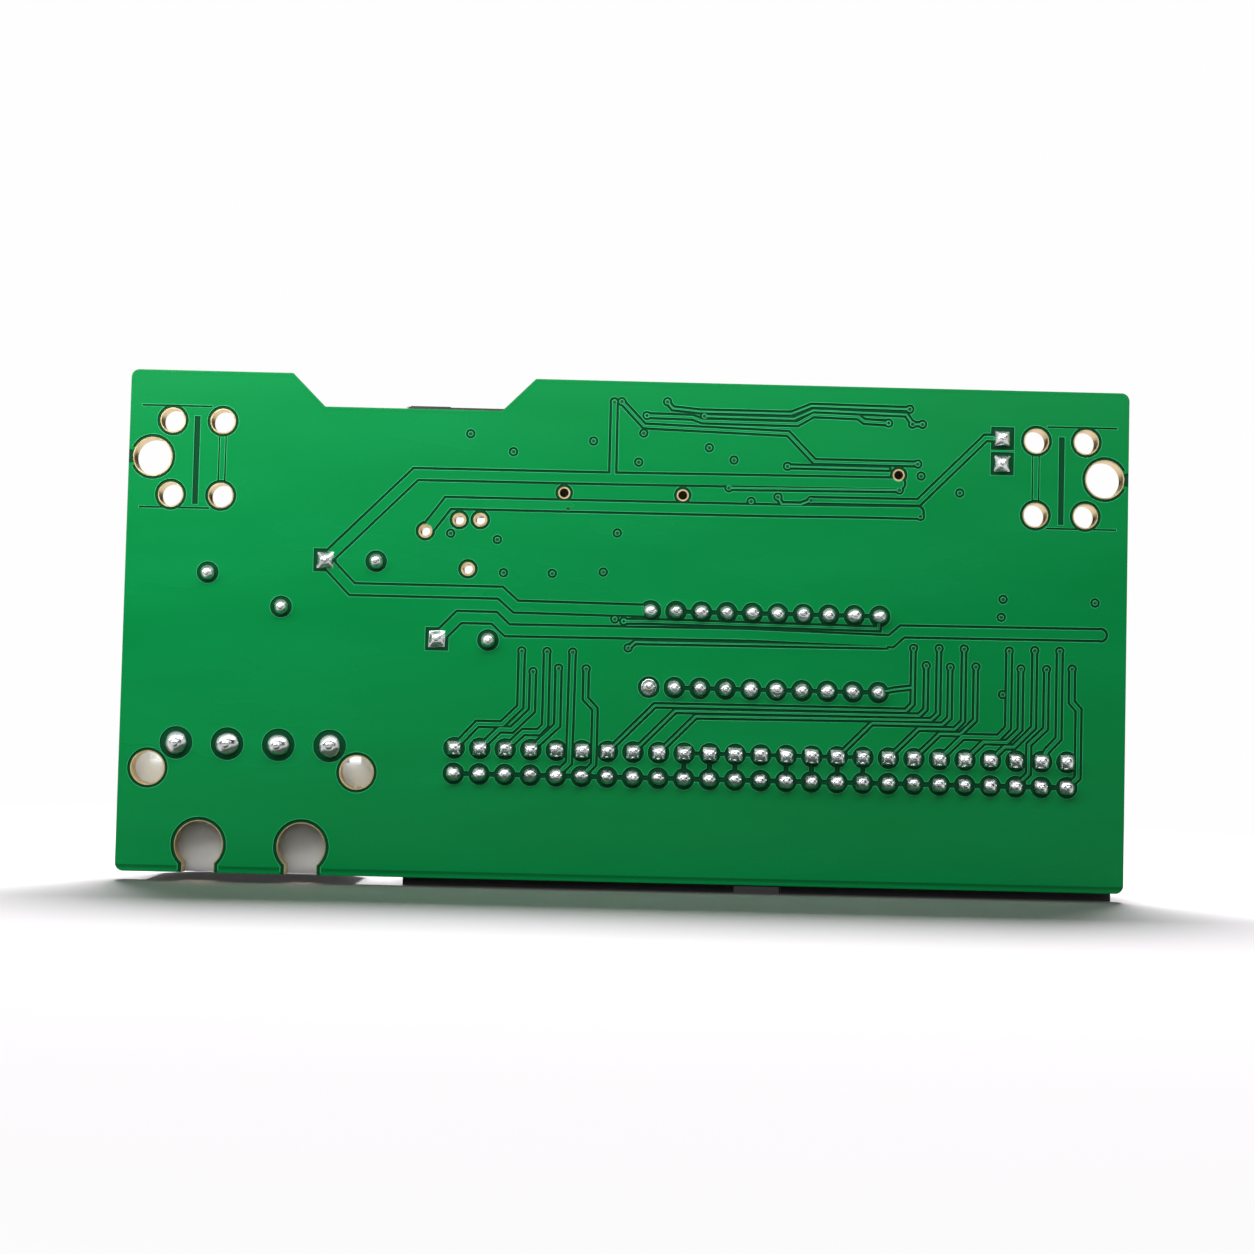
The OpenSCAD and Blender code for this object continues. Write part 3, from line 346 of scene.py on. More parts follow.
# %% Mask over bare laminate, with the cut edge
laminate_finish, tree, surface, place = finish("masked_glass_laminate", IOR=1.5, Roughness=0.42,
                                               Specular_IOR_Level=0.08)
depth = add(tree, "ShaderNodeSeparateXYZ", {"Vector": place}).outputs["Y"]
middle = MM * (SOLDER_FACE + PART_FACE) / 2
off = add(tree, "ShaderNodeMath", {0: depth, 1: middle}, operation="SUBTRACT").outputs[0]
off = add(tree, "ShaderNodeMath", {0: off}, operation="ABSOLUTE").outputs[0]
on_face = add(tree, "ShaderNodeMath", {0: off, 1: MM * ((PART_FACE - SOLDER_FACE) / 2 - 0.02)},
              operation="GREATER_THAN").outputs[0]
plies = add(tree, "ShaderNodeMapping", {"Vector": place, "Scale": (0.04, 1, 0.04)}).outputs[0]
cloth = add(tree, "ShaderNodeTexNoise", {"Vector": plies, "Scale": per(0.18), "Detail": 2.0})
edge = add(tree, "ShaderNodeMix", {0: cloth.outputs["Fac"], 6: colour("#6f7f45"),
                                   7: colour("#c9cf9c")}, data_type="RGBA").outputs[2]
patches = add(tree, "ShaderNodeTexNoise", {"Vector": place, "Scale": per(6), "Detail": 3.0})
dark = add(tree, "ShaderNodeMix", {0: patches.outputs["Fac"], 6: colour("#023a20"),
                                   7: colour("#034627")}, data_type="RGBA").outputs[2]
skin = add(tree, "ShaderNodeMix", {0: on_face, 6: edge, 7: dark}, data_type="RGBA").outputs[2]
tree.links.new(skin, surface.inputs["Base Color"])
dress(mask_over_copper, "solder_side_foil", "component_side_foil")
dress(laminate_finish, "laminate")
print("mask finishes ready")

# %% [markdown]
# ## How the mask sags over the copper's edges
# Wet lacquer rounds off the step at every edge of the copper, and the rounded edge is what
# catches the light and draws the tracks. A bevel on the copper would change its size, so a
# narrow skirt is laid against each edge instead: its profile starts level with the copper
# and curves down to the laminate. It follows the outline of the CAD foil itself, which is
# found as the edges that only one triangle of its outer face has. The foil stops a little
# short of the board's own edge, and there the mask runs on almost flat, so those edges get
# a wider strip with a profile of its own, the rim. The skirt's colour also paints the light:
# a pale green highlight along the small bead on the copper's shoulder, and dark green down
# the slope, which is partly the mask over bare laminate and partly painted shade.

# %% Outline of the foil
SAME = 1e-7                                                  # points this close, in metres, are one
CORNER = 0.8                                                 # radius of the board's corners in mm
INSET = 0.02                                                 # the mask stops short of them by this
EDGE = [(0, 0), (0, 50), (16.15, 50), (19.45, 46.7), (37.15, 46.7), (40.45, 50), (100, 50),
        (100, 0), (0, 0)]                                    # the board's edge as (u, v) in mm
NEAR_EDGE = 0.5                                              # the foil's margin is less than this
STEP = 0.25                                                  # longest piece of the rim in mm


def outline(node, height):
    """The points of a foil's outer face that lie on its outline, and the edges between them.

    The mesh is loose triangles, so equal points are merged first. An edge that is walked one
    way by some triangle and the other way by none is on the outline."""
    mesh = nodes[node].data
    points = np.empty(len(mesh.vertices) * 3)
    mesh.vertices.foreach_get("co", points)
    corners = np.empty(len(mesh.loops), int)
    mesh.loops.foreach_get("vertex_index", corners)
    points, merged = np.unique((points.reshape(-1, 3) / SAME).round().astype(int), axis=0,
                               return_inverse=True)
    triangles = merged.ravel()[corners].reshape(-1, 3)
    points = points * SAME
    flat = (abs(points[triangles][..., 1] - height * MM) < 1e-6).all(1)
    triangles = triangles[flat]
    edges = np.concatenate([triangles[:, [0, 1]], triangles[:, [1, 2]], triangles[:, [2, 0]]])
    key = edges[:, 0] * len(points) + edges[:, 1]
    back = edges[:, 1] * len(points) + edges[:, 0]
    edges = edges[~np.isin(key, back)]
    used, edges = np.unique(edges, return_inverse=True)
    return points[used], edges.reshape(-1, 2)


def near_edge(ground):
    """Which points lie along the board's own edge, whose top has the notch in it."""
    ends = MM * (np.array(EDGE) + [LEFT, BOTTOM])
    a, d = ends[:-1], np.diff(ends, axis=0)
    t = ((ground[:, None] - a) * d).sum(-1) / (d * d).sum(-1)
    away = np.linalg.norm(ground[:, None] - a - t.clip(0, 1)[..., None] * d, axis=-1).min(1)
    return away < NEAR_EDGE * MM


def inside_corners(ground):
    """Pulls points that stick out past one of the board's four rounded corners back onto it."""
    low, high = MM * np.array([LEFT, BOTTOM]), MM * np.array([LEFT + 100, BOTTOM + 50])
    centre = ground.clip(low + CORNER * MM, high - CORNER * MM)
    away = ground - centre
    length = np.linalg.norm(away, axis=-1, keepdims=True)
    reach = (CORNER - INSET) * MM
    over = (abs(away) > 1e-9).all(-1, keepdims=True) & (length > reach)
    return np.where(over, centre + away / np.maximum(length, 1e-9) * reach, ground)


def divided(points, edges, step):
    """The same edges in pieces no longer than step, so that a rounded corner can bend them."""
    length = np.linalg.norm(points[edges[:, 1]] - points[edges[:, 0]], axis=1)
    count = np.ceil(length / step).astype(int)
    edge = np.repeat(np.arange(len(edges)), count)
    piece = np.arange(len(edge)) - np.repeat(np.cumsum(count) - count, count)
    ends = []
    for shift in (0, 1):
        share = ((piece + shift) / count[edge])[:, None]
        ends.append(points[edges[edge, 0]] * (1 - share) + points[edges[edge, 1]] * share)
    places, merged = np.unique((np.concatenate(ends) / SAME).round().astype(int), axis=0,
                               return_inverse=True)
    return places * SAME, merged.ravel().reshape(2, -1).T.copy()


def new_piece(name, points, faces, smooth=True):
    """A mesh object at the origin, from all its points at once, that rides on the board."""
    mesh = bpy.data.meshes.new(name)
    mesh.from_pydata(points, [], faces)
    mesh.validate()
    mesh.polygons.foreach_set("use_smooth", np.full(len(mesh.polygons), smooth))
    piece = bpy.data.objects.new(name, mesh)
    bpy.context.scene.collection.objects.link(piece)
    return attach(piece, "root")


def skirt(name, node, height, outward, profile, rim):
    """A strip along a foil's outline: each profile point is (how far out, how far down) in mm.
    rim chooses the edges along the board's own edge, or else all the others, and outward is
    1 or -1, the way in which the foil's face looks along Y.

    At every corner the strip is mitred: the two edges' sideways directions are added, and
    divided by one plus their product, so that its width stays the same along both. On the
    rim, an end whose mitre would narrow or widen its edge gets a point of its own instead."""
    points, edges = outline(node, height)
    edges = edges[near_edge(points[:, [0, 2]])[edges].all(1) == rim]
    if rim:
        points, edges = divided(points, edges, STEP * MM)
    ground = points[:, [0, 2]]
    along = ground[edges[:, 1]] - ground[edges[:, 0]]
    along /= np.linalg.norm(along, axis=1, keepdims=True)
    sideways = np.stack([along[:, 1], -along[:, 0]], 1) * -outward
    total = np.zeros_like(ground)
    np.add.at(total, edges[:, 0], sideways)
    np.add.at(total, edges[:, 1], sideways)
    length = np.linalg.norm(total, axis=1, keepdims=True)
    mitre = total / np.maximum(length, 0.2) ** 2 * 2
    mitre *= np.minimum(1, 1.5 / np.maximum(np.linalg.norm(mitre, axis=1, keepdims=True), 1e-9))
    for end in (0, 1) if rim else ():
        wrong = np.flatnonzero(abs((mitre[edges[:, end]] * sideways).sum(1) - 1) > 0.02)
        mitre = np.concatenate([mitre, sideways[wrong]])
        points = np.concatenate([points, points[edges[wrong, end]]])
        edges[wrong, end] = len(points) - len(wrong) + np.arange(len(wrong))
    out, down = MM * np.array(profile).T
    steps = len(out)
    rows = np.empty((len(points), steps, 3))
    rows[:, :, 0] = points[:, :1] + mitre[:, :1] * out
    rows[:, :, 2] = points[:, 2:] + mitre[:, 1:] * out
    rows[:, :, [0, 2]] = inside_corners(rows[:, :, [0, 2]])
    rows[:, :, 1] = points[:, 1:2] + outward * -down
    a, b = edges[:, 0, None] * steps, edges[:, 1, None] * steps
    k = np.arange(steps - 1)
    quads = np.stack([a + k, a + k + 1, b + k + 1, b + k], -1).reshape(-1, 4)
    if outward > 0:
        quads = quads[:, ::-1]
    used, quads = np.unique(quads, return_inverse=True)
    piece = new_piece(name, rows.reshape(-1, 3)[used], quads.reshape(-1, 4).tolist())
    fall = piece.data.attributes.new("fall", "FLOAT", "POINT")
    fall.data.foreach_set("value", np.tile(down / down[-1], len(points))[used].astype(np.float32))
    return piece


# %% Mask skirts on both sides
# Both profiles are (outwards, downwards) in mm, from the copper to the laminate.
PROFILE = [(-0.09, -0.002), (-0.06, -0.01), (-0.03, -0.013), (-0.005, -0.006),
           (0.012, 0.012), (0.025, 0.04), (0.035, FOIL - 0.003)]
RIM = [(-0.05, -0.002), (0.0, -0.006), (0.08, -0.005), (0.16, -0.002), (0.225, 0.002),
       (0.238, 0.006), (0.24, 0.02), (0.24, FOIL - 0.003)]
front_skirt = skirt("mask_edges_solder_side", "solder_side_foil", SOLDER_FACE - FOIL, -1, PROFILE, False)
back_skirt = skirt("mask_edges_component_side", "component_side_foil", PART_FACE + FOIL, 1, PROFILE,
                   False)
for name, node, height, outward in (
        ("mask_rim_solder_side", "solder_side_foil", SOLDER_FACE - FOIL, -1),
        ("mask_rim_component_side", "component_side_foil", PART_FACE + FOIL, 1)):
    piece = skirt(name, node, height, outward, RIM, True)
    piece.data.materials.append(mask_over_copper)
    print(piece.name, len(piece.data.polygons), "faces")

mask_edge, tree, surface, place = finish("solder_mask_over_an_edge", IOR=1.5, Roughness=0.34,
                                         Specular_IOR_Level=0.1)
fall = add(tree, "ShaderNodeAttribute", {}, attribute_name="fall").outputs["Fac"]
steep = add(tree, "ShaderNodeMapRange",
            {"Value": fall, "From Min": -0.17, "From Max": -0.02}).outputs[0]
# painted highlight in pale green along the bead, then dark green down the slope: partly the mask over bare
# laminate, partly painted shade
edge_highlight_and_shade = add(tree, "ShaderNodeMix", {0: steep, 6: colour("#2cab66"), 7: colour("#012a16")},
           data_type="RGBA").outputs[2]
tree.links.new(edge_highlight_and_shade, surface.inputs["Base Color"])
for piece in (front_skirt, back_skirt):
    piece.data.materials.append(mask_edge)
    print(piece.name, len(piece.data.polygons), "faces")

# %% [markdown]
# ## Solder joints
# Each pin stands in a drop of solder that was pulled round by its own surface tension. It
# wets the land all round, swells into a dome, and draws up to a small nib over the pin's
# end. A sphere would miss the nib, so the drop is a surface of revolution: rings round the
# pin that follow one table of shares of its radius and height, with a little lean and
# roundness of its own for each joint.

# %% Drops of solder
# SHAPE is (share of the radius, share of the height), from the foot to the tip.
chance = np.random.default_rng(7)
AROUND = np.linspace(0, 2 * np.pi, 32, endpoint=False)
SHAPE = [(1, 0), (1, 0.1), (0.97, 0.22), (0.91, 0.35), (0.82, 0.48), (0.7, 0.61), (0.58, 0.72),
         (0.48, 0.79), (0.4, 0.825), (0.34, 0.835), (0.3, 0.85), (0.28, 0.89), (0.24, 0.94),
         (0.17, 0.98), (0.09, 0.995), (0.03, 1)]


def rings(name, grid):
    """Closed bodies from rings: grid[body, ring, corner] are points, and both ends are capped
    by a point in the middle of the end ring."""
    bodies, levels, corners, _ = grid.shape
    ends = np.stack([grid[:, 0].mean(1), grid[:, -1].mean(1)], 1)
    points = np.concatenate([grid.reshape(bodies, -1, 3), ends], 1)
    s, t = np.meshgrid(np.arange(levels - 1), np.arange(corners), indexing="ij")
    n = (t + 1) % corners
    sides = np.stack([s * corners + t, s * corners + n, (s + 1) * corners + n,
                      (s + 1) * corners + t], -1).reshape(-1, 4)
    t = np.arange(corners)
    n = (t + 1) % corners
    foot, tip = levels * corners, levels * corners + 1
    fans = np.concatenate([np.stack([n, t, t * 0 + foot], 1),
                           np.stack([(levels - 1) * corners + t, (levels - 1) * corners + n,
                                     t * 0 + tip], 1)])
    shift = np.arange(bodies)[:, None, None] * points.shape[1]
    faces = (sides + shift).reshape(-1, 4).tolist() + (fans + shift).reshape(-1, 3).tolist()
    return new_piece(name, points.reshape(-1, 3), faces)


def drops(name, places, foot, tall, square=0.0, hollow=0.0):
    """Solder drops at places, whose rings follow SHAPE from the foot to the tip. square turns
    the foot towards a square, whose side is as far away as the round one. hollow lowers the
    flank, as where little solder is drawn out to the corners of a square land."""
    count = len(places)
    u, v = (np.array(places, float)[:, i, None, None] for i in (0, 1))
    pull, sunk = (np.broadcast_to(np.asarray(x, float), count)[:, None, None] for x in (square, hollow))
    rise = tall * chance.uniform(0.9, 1.0, (count, 1, 1)) * (1 - 0.8 * sunk)
    share = np.array(SHAPE)[None, :, 1, None] ** (chance.uniform(0.8, 1.15, (count, 1, 1)) + 1.6 * sunk)
    radius = foot * chance.uniform(0.97, 1.03, (count, 1, 1)) * np.array(SHAPE)[None, :, 0, None]
    height = np.maximum(share * rise, FOIL * (share > 0))
    turn = chance.uniform(0, 2 * np.pi, (count, 1, 1))
    oval = 1 + 0.04 * (1 - share) * np.cos(2 * AROUND + turn)
    side = 1 / np.maximum(abs(np.cos(AROUND)), abs(np.sin(AROUND)))
    corner = 1 + pull * (1 - share) ** 1.4 * (side - 1)
    lean = tall * 0.07 * chance.normal(0, 1, (count, 2, 1, 1)).clip(-1.4, 1.4)
    grid = on_board(u + lean[:, 0] * share ** 2 + radius * oval * corner * np.cos(AROUND),
                    v + lean[:, 1] * share ** 2 + radius * oval * corner * np.sin(AROUND),
                    height + 0 * AROUND)
    return rings(name, grid)


# %% Joints of every row of pins
HEADER = [(33.26 + PITCH * i, 10.38 + PITCH * row) for row in (0, 1) for i in range(25)]
NETWORKS = [(52.45 + PITCH * i, v) for v in (19.4, 27.0) for i in range(10)]
POWER = [(5.66 + 5.08 * i, 12.8) for i in range(4)]
CAPACITORS = [(19.9, 31.3), (31.25, 23.7)]
TWO_LEADS = [(u + 5.08, v) for u, v in CAPACITORS] + [(8.25, 29.8), (15.65, 26.55)]
JUMPER = [(87.3, 42.6), (87.3, 45.14)]
TALL = SOLDER_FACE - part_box("header_joints")[0][1] / MM      # the top of the CAD joints

starved = np.arange(len(NETWORKS)) == 0                      # one joint got too little solder
squarish = np.repeat([0.1, 0.4, 0.75], [13, 12, 25])         # lower row in two parts, upper row
joints = [
    (drops("header_solder", HEADER, 0.78, TALL, squarish), "header_joints"),
    (drops("network_solder", NETWORKS, 0.79, TALL, 0.0, starved * 0.4), "network_joints"),
    (drops("power_solder", POWER, 1.17, TALL), "power_joints"),
    (drops("lead_solder", TWO_LEADS, 0.79, TALL), "two_lead_joints"),
    (drops("square_land_solder", CAPACITORS, 0.82, TALL, 1.0, 0.3), "two_lead_joints"),
    (drops("jumper_solder", JUMPER, 0.82, TALL, 1.0, 0.15), "jumper_joints")]
print("joints rise", round(TALL, 3), "mm")
solder, tree, surface, place = finish("tin_solder", Metallic=1.0)
wear(tree, surface, place, 0.9, ("#b4b7b9", "#dcdedf"), (0.18, 0.28), depth=0.001)
for piece, node in joints:
    piece.data.materials.append(solder)
    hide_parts(node)
    print(piece.name, len(piece.data.polygons), "faces")

# %% [markdown]
# ## Dimples over the vias
# The mask also flows over every via and sinks into its bore, which leaves a small dimple,
# coloured darker than the mask around it as painted shade of the empty bore beneath. A bore is
# a small loop of the foil's outline. Every point takes the lowest number among its
# neighbours, again and again, until each small loop has one number throughout; a loop whose
# points all lie one bore radius from their middle is a via, and gets a dish.

# %% Dimples from the foil's own bores
# DISH is (radius, height) in mm: a flat foot inside the foil, a rim over it, and the hollow.
VIA_RADIUS = 0.13                                            # of a via's bore in mm
ROUNDS = 60                                                  # more than the points of one bore
FEWEST = 6                                                   # fewer points than this are no loop
TRUE = 0.01                                                  # a bore is round within this, in mm
points, edges = outline("solder_side_foil", SOLDER_FACE - FOIL)
ground = points[:, [0, 2]] / MM
loop = np.arange(len(ground))
for _ in range(ROUNDS):
    np.minimum.at(loop, edges[:, 0], loop[edges[:, 1]])
    np.minimum.at(loop, edges[:, 1], loop[edges[:, 0]])
_, loop, count = np.unique(loop, return_inverse=True, return_counts=True)
middle = np.stack([np.bincount(loop, ground[:, i]) for i in (0, 1)], 1) / count[:, None]
off_round = np.zeros(len(count))
np.maximum.at(off_round, loop, abs(np.linalg.norm(ground - middle[loop], axis=1) - VIA_RADIUS))
vias = middle[(off_round < TRUE) & (count >= FEWEST)] - [LEFT, BOTTOM]
DISH = [(0.02, FOIL - 0.03), (0.18, FOIL - 0.03), (0.18, FOIL + 0.012), (0.16, FOIL + 0.016),
        (0.1, FOIL + 0.006), (0.04, FOIL - 0.01)]
r, h = (np.array(DISH)[None, :, i, None] for i in (0, 1))
u, v = (vias[:, i, None, None] for i in (0, 1))
turn = np.linspace(0, 2 * np.pi, 20, endpoint=False)
dimples = rings("via_dimples", on_board(u + r * np.cos(turn), v + r * np.sin(turn), h))
# painted shade: the dimple's dark green stands for the shade in the empty bore under the mask
sunk, tree, surface, place = finish("mask_in_a_bore_with_painted_shade", IOR=1.5, Specular_IOR_Level=0.3)
wear(tree, surface, place, 0.5, ("#01371c", "#024a27"), (0.24, 0.34))
dimples.data.materials.append(sunk)
print(len(vias), "vias")

# %% [markdown]
# ## Metals
# Bare rims and hole walls are copper under a thin flash of gold, leads are tinned bronze,
# header pins are gold plated, and the card socket and its neighbours wear nickel-plated
# sheet. All are plain metals: the base colour is the metal's own, and what differs is how
# smooth the plating left them.

# %% Plated and sheet metals
gold_flash, tree, surface, place = finish("immersion_gold", Metallic=1.0)
wear(tree, surface, place, 0.8, ("#c9ad79", "#dcc89a"), (0.3, 0.46), depth=0.006)
dress(gold_flash, "hole_plating")

tinned, tree, surface, place = finish("tinned_bronze_lead", Metallic=1.0)
wear(tree, surface, place, 0.5, ("#9fa3a6", "#c8cbcd"), (0.24, 0.4), depth=0.004)
dress(tinned, "surface_pads", "capacitor_leads", "fuse_leads", "power_pins", "network_leads",
      "controller_leads", "buffer_leads", "regulator_leads", "diode_terminals", "chip_end_caps",
      "lead_lands")

gold_pin, tree, surface, place = finish("hard_gold_contact", Metallic=1.0)
wear(tree, surface, place, 0.6, ("#c9a14e", "#e6c777"), (0.18, 0.3), depth=0.002)
dress(gold_pin, "header_pins", "jumper_pins", "card_socket_contacts", "network_contacts")

nickel, tree, surface, place = finish("nickel_plated_sheet", Metallic=1.0)
wear(tree, surface, place, 1.5, ("#a9aaa8", "#c3c4c2"), (0.22, 0.34), stretch=(0.15, 1, 1),
     depth=0.002)
dress(nickel, "card_socket_shell", "usb_shell", "crystal_can")
print("metals ready")

# %% [markdown]
# ## Moulded plastics
# Housings are injection moulded. Glass-filled nylon comes out of the mould nearly black
# with a fine dull grain, natural nylon is milky and lets a little light in, and the chips'
# epoxy is dark grey with a spark-eroded texture.

# %% Plastics
black_nylon, tree, surface, place = finish("glass_filled_nylon", IOR=1.53)
wear(tree, surface, place, 0.35, ("#101113", "#1c1d1f"), (0.4, 0.56), depth=0.008)
dress(black_nylon, "header_shroud", "network_sockets", "card_socket_base", "usb_tongue", "jumper_block")

natural_nylon, tree, surface, place = finish("natural_nylon", IOR=1.53, Subsurface_Weight=1.0,
                                             Subsurface_Radius=(1, 0.95, 0.9), Subsurface_Scale=0.007)
wear(tree, surface, place, 3, ("#f0efea", "#fafaf6"), (0.4, 0.5), depth=0.006)
dress(natural_nylon, "power_shroud")

epoxy, tree, surface, place = finish("moulded_epoxy", IOR=1.55)
wear(tree, surface, place, 0.12, ("#1b1c1e", "#292a2c"), (0.5, 0.68), depth=0.006)
dress(epoxy, "controller_body", "buffer_bodies", "regulator_body", "diode_body")
print("plastics ready")

# %% [markdown]
# ## Component coatings
# The terminator networks and the fuse are dipped in lacquer, which pools and shines. The
# capacitors' cans wear a printed sleeve with a pale stripe down the negative side, and end
# in bare aluminium. Chips of ceramic and their end caps are too small for more than a grain.

# %% Lacquers, sleeve and ceramics
lacquer, tree, surface, place = finish("dipped_lacquer", IOR=1.5, Coat_Weight=0.5)
wear(tree, surface, place, 2.5, ("#231512", "#2c1b17"), (0.2, 0.3), depth=0.004)
dress(lacquer, "network_bodies")

yellow, tree, surface, place = finish("fuse_lacquer", IOR=1.5, Coat_Weight=0.4)
wear(tree, surface, place, 2, ("#cf9e2c", "#dcae42"), (0.25, 0.36), depth=0.012)
dress(yellow, "fuse_body")

STRIPE_FROM = 3.3                                            # side of a can with the stripe, in mm
TOP_RADIUS, TOP_DEPTH = 3.2, 0.5                             # its bare aluminium end, in mm
sleeve, tree, surface, place = finish("printed_can_sleeve", IOR=1.5)
film = wear(tree, surface, place, 1.2, ("#15171c", "#1e2026"), (0.26, 0.36), depth=0.004)
first, second = (MM * np.array([LEFT + u + PITCH, BOTTOM + v]) for u, v in CAPACITORS)  # axes
half = (second[0] - first[0]) / 2
xyz = add(tree, "ShaderNodeSeparateXYZ", {"Vector": place})
across = add(tree, "ShaderNodeMath", {0: xyz.outputs["X"], 1: first[0] + half, 2: first[0] - half},
             operation="WRAP").outputs[0]
across = add(tree, "ShaderNodeMath", {0: across, 1: first[0]}, operation="SUBTRACT").outputs[0]
is_first = add(tree, "ShaderNodeMath", {0: xyz.outputs["X"], 1: first[0] + half},
               operation="LESS_THAN").outputs[0]
up = add(tree, "ShaderNodeMath", {0: xyz.outputs["Z"], 1: second[1]}, operation="SUBTRACT").outputs[0]
up = add(tree, "ShaderNodeMath", {0: is_first, 1: second[1] - first[1], 2: up},
         operation="MULTIPLY_ADD").outputs[0]
radial = add(tree, "ShaderNodeCombineXYZ", {"X": across, "Y": up})
radius = add(tree, "ShaderNodeVectorMath", {0: radial.outputs[0]}, operation="LENGTH").outputs["Value"]
striped = add(tree, "ShaderNodeMath", {0: across, 1: STRIPE_FROM * MM}, operation="GREATER_THAN").outputs[0]
inside = add(tree, "ShaderNodeMath", {0: radius, 1: TOP_RADIUS * MM}, operation="LESS_THAN").outputs[0]
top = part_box("capacitor_cans")[1][1]
on_top = add(tree, "ShaderNodeMath", {0: xyz.outputs["Y"], 1: top - TOP_DEPTH * MM},
             operation="GREATER_THAN").outputs[0]
bare = add(tree, "ShaderNodeMath", {0: inside, 1: on_top}, operation="MULTIPLY").outputs[0]
film = add(tree, "ShaderNodeMix", {0: striped, 6: film, 7: colour("#b9bcc0")}, data_type="RGBA")
film = add(tree, "ShaderNodeMix", {0: bare, 6: film.outputs[2], 7: colour("#c2c5c8")}, data_type="RGBA")
tree.links.new(film.outputs[2], surface.inputs["Base Color"])
tree.links.new(bare, surface.inputs["Metallic"])
dress(sleeve, "capacitor_cans")

rubber, tree, surface, place = finish("seal_rubber", IOR=1.5)
wear(tree, surface, place, 0.4, ("#0d0d0d", "#1b1b1b"), (0.6, 0.8), depth=0.01)
dress(rubber, "capacitor_seals")

ceramic, tree, surface, place = finish("chip_ceramic", IOR=1.6)
wear(tree, surface, place, 0.2, ("#8f6f4c", "#a98a66"), (0.45, 0.6), depth=0.004)
dress(ceramic, "chip_capacitors")

glaze, tree, surface, place = finish("resistor_glaze", IOR=1.5)
wear(tree, surface, place, 0.3, ("#0e0f12", "#191a1e"), (0.25, 0.4), depth=0.003)
dress(glaze, "chip_resistors")

resin, tree, surface, place = finish("clear_lamp_resin", IOR=1.5, Transmission_Weight=0.5)
wear(tree, surface, place, 0.4, ("#cfe0c0", "#e6f0da"), (0.1, 0.2), depth=0.002)
dress(resin, "status_lamp")
print("coatings ready")

# %% [markdown]
# ## Printed outlines
# The component side carries a white screen print that shows where each part goes. It is a
# film of epoxy ink only a few hundredths of a millimetre thick, so a flat ribbon just over
# the mask is enough. Each outline is a path, and the ribbon's two edges are the path moved
# sideways by half the line's width, mitred at the corners.

# %% Ribbons of ink
LINE = 0.16                                                  # width of a printed line in mm
OVER_FOIL = 0.014                                            # height of the ink over the foil


def ribbon(path, closed):
    """The two edges of a line along a path of (u, v) points, as rows of left and right points."""
    path = np.array(path, float)
    if closed:
        before, after = np.roll(path, 1, 0), np.roll(path, -1, 0)
    else:
        before = np.vstack([2 * path[0] - path[1], path[:-1]])
        after = np.vstack([path[1:], 2 * path[-1] - path[-2]])
    into, out = path - before, after - path
    into /= np.linalg.norm(into, axis=1, keepdims=True)
    out /= np.linalg.norm(out, axis=1, keepdims=True)
    into, out = (np.stack([-d[:, 1], d[:, 0]], 1) for d in (into, out))
    mitre = (into + out) / (1 + (into * out).sum(1, keepdims=True))
    return np.stack([path - mitre * LINE / 2, path + mitre * LINE / 2], 1)


def box_path(u, v, half_u, half_v, turn=0.0):
    """The four corners of a rectangle about (u, v), turned by an angle in degrees."""
    c, s = np.cos(np.radians(turn)), np.sin(np.radians(turn))
    corners = np.array([[-half_u, -half_v], [half_u, -half_v], [half_u, half_v], [-half_u, half_v]])
    return corners @ np.array([[c, s], [-s, c]]) + [u, v]


ring = np.linspace(0, 2 * np.pi, 48, endpoint=False)
circle = np.stack([np.cos(ring), np.sin(ring)], 1)
closed_lines = [4.35 * circle + [u + PITCH, v] for u, v in CAPACITORS]
closed_lines += [box_path(11.95, 28.18, 5.65, 1.95, -23.7), box_path(64.1, 19.4, 13.1, 1.5),
                 box_path(64.1, 27.0, 13.1, 1.5), box_path(87.3, 43.87, 1.6, 2.9),
                 box_path(74.5, 34.6, 2.9, 2.0)]
closed_lines += [box_path(u, 47.2, 1.85, 0.98) for u in (58, 62, 66, 70, 74)]
closed_lines += [box_path(u, v, 1.85, 0.98) for u, v in ((42.8, 31.2), (46.6, 31.2), (86.9, 33.2),
                                                         (96.8, 33.2))]
closed_lines += [box_path(u, v, 0.98, 1.85) for u, v in ((82.8, 40.6), (82.8, 35.6), (46.8, 36.2))]
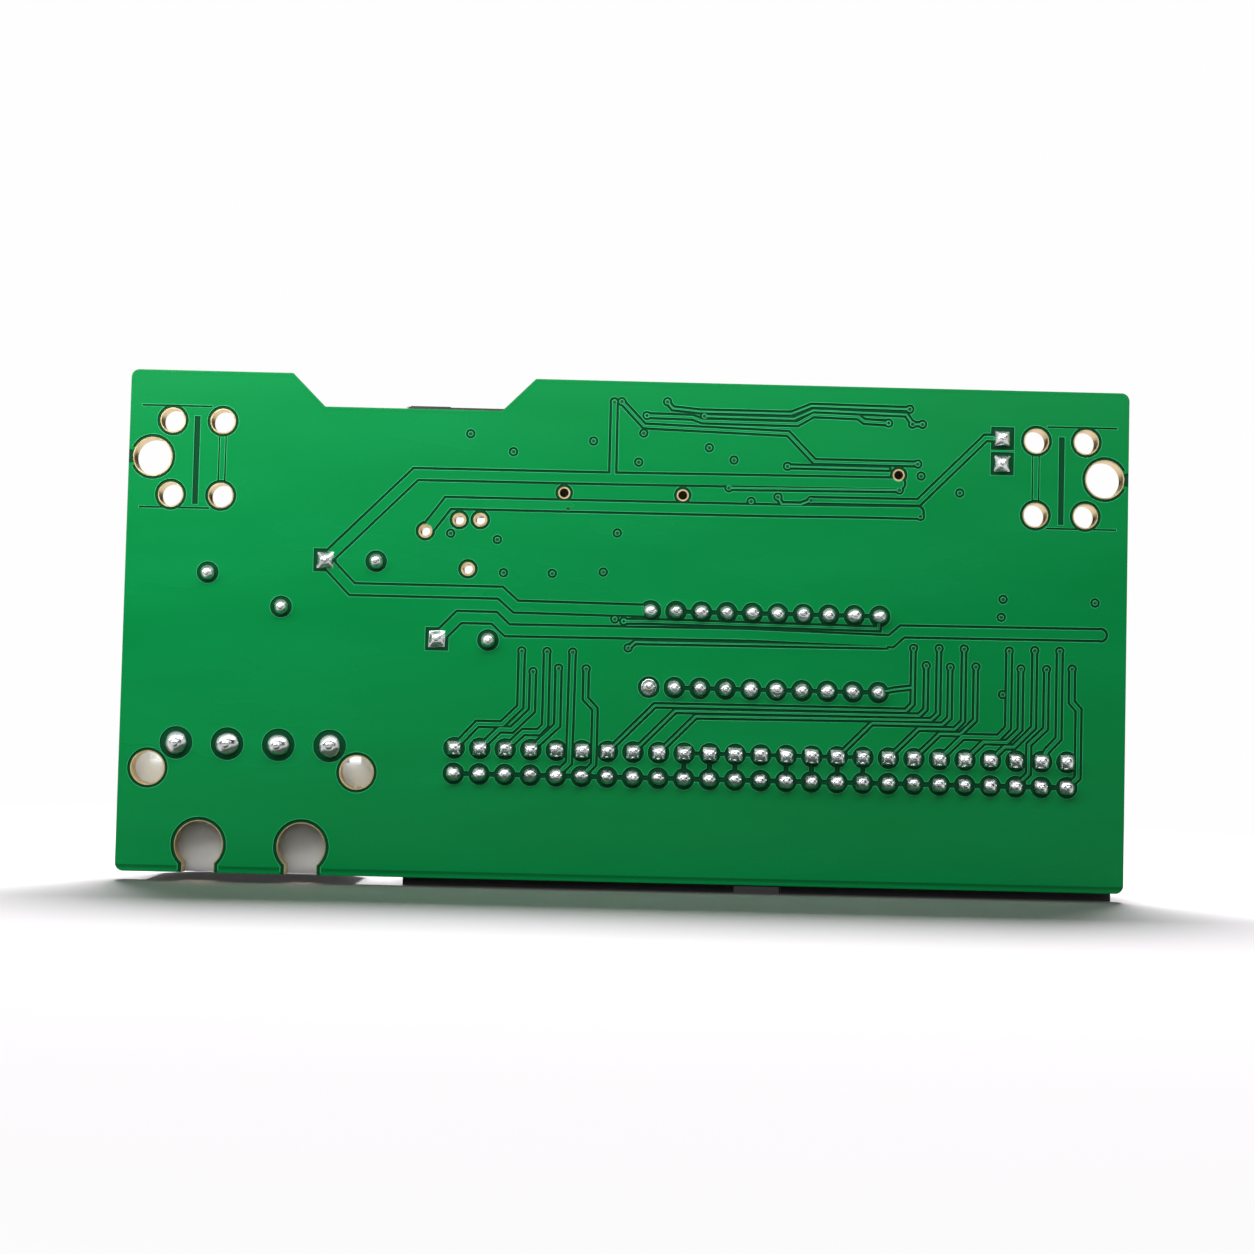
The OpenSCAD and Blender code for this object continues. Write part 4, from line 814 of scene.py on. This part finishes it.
open_lines = [[(28.0, 0.7), (28.0, 8.75), (99.45, 8.75), (99.45, 0.7)],
              [(27.1, 46.4), (27.1, 36.15), (41.7, 36.15), (41.7, 46.4)],
              [(45.6, 44.6), (53.4, 44.6)], [(26.5, 0.8), (26.5, 9.6)],
              [(73.4, 38.9), (73.4, 42.3)], [(80.6, 38.9), (80.6, 42.3)],
              [(41.65, 36.4), (41.65, 40.6)], [(45.35, 36.4), (45.35, 40.6)]]
for u, v in ((43, 25.9), (81.9, 27.6), (91.6, 27.6)):
    open_lines += [[(u + side * 4.62, v - 1.8), (u + side * 4.62, v + 1.8)] for side in (-1, 1)]
for a, b in ((-1, -1), (-1, 1), (1, -1), (1, 1)):
    corner = np.array([61.2, 37.3]) + [a * 8.0, b * 8.0]
    open_lines.append([corner - [a * 1.0, 0], corner, corner - [0, b * 1.0]])

rows, quads, start = [], [], 0
for path, closed in [(p, True) for p in closed_lines] + [(p, False) for p in open_lines]:
    edges = ribbon(path, closed)
    k = np.arange(len(edges) if closed else len(edges) - 1)
    n = (k + 1) % len(edges)
    quads.append(start + np.stack([2 * k, 2 * k + 1, 2 * n + 1, 2 * n], 1))
    rows.append(edges.reshape(-1, 2))
    start += 2 * len(edges)
rows = np.concatenate(rows)
ink_height = SOLDER_FACE - PART_FACE - FOIL - OVER_FOIL
print_piece = new_piece("printed_outlines", on_board(rows[:, 0], rows[:, 1], ink_height),
                        np.concatenate(quads).tolist(), smooth=False)
ink, tree, surface, place = finish("epoxy_legend_ink", IOR=1.5)
wear(tree, surface, place, 0.5, ("#dcdfd8", "#f0f1ec"), (0.5, 0.65), depth=0.002)
print_piece.data.materials.append(ink)
print(len(closed_lines) + len(open_lines), "printed lines")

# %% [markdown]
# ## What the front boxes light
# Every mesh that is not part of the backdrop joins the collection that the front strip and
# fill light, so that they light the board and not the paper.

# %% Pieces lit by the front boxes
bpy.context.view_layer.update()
for piece in bpy.context.scene.objects:
    if piece.type == "MESH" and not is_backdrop(piece):
        board_only.objects.link(piece)
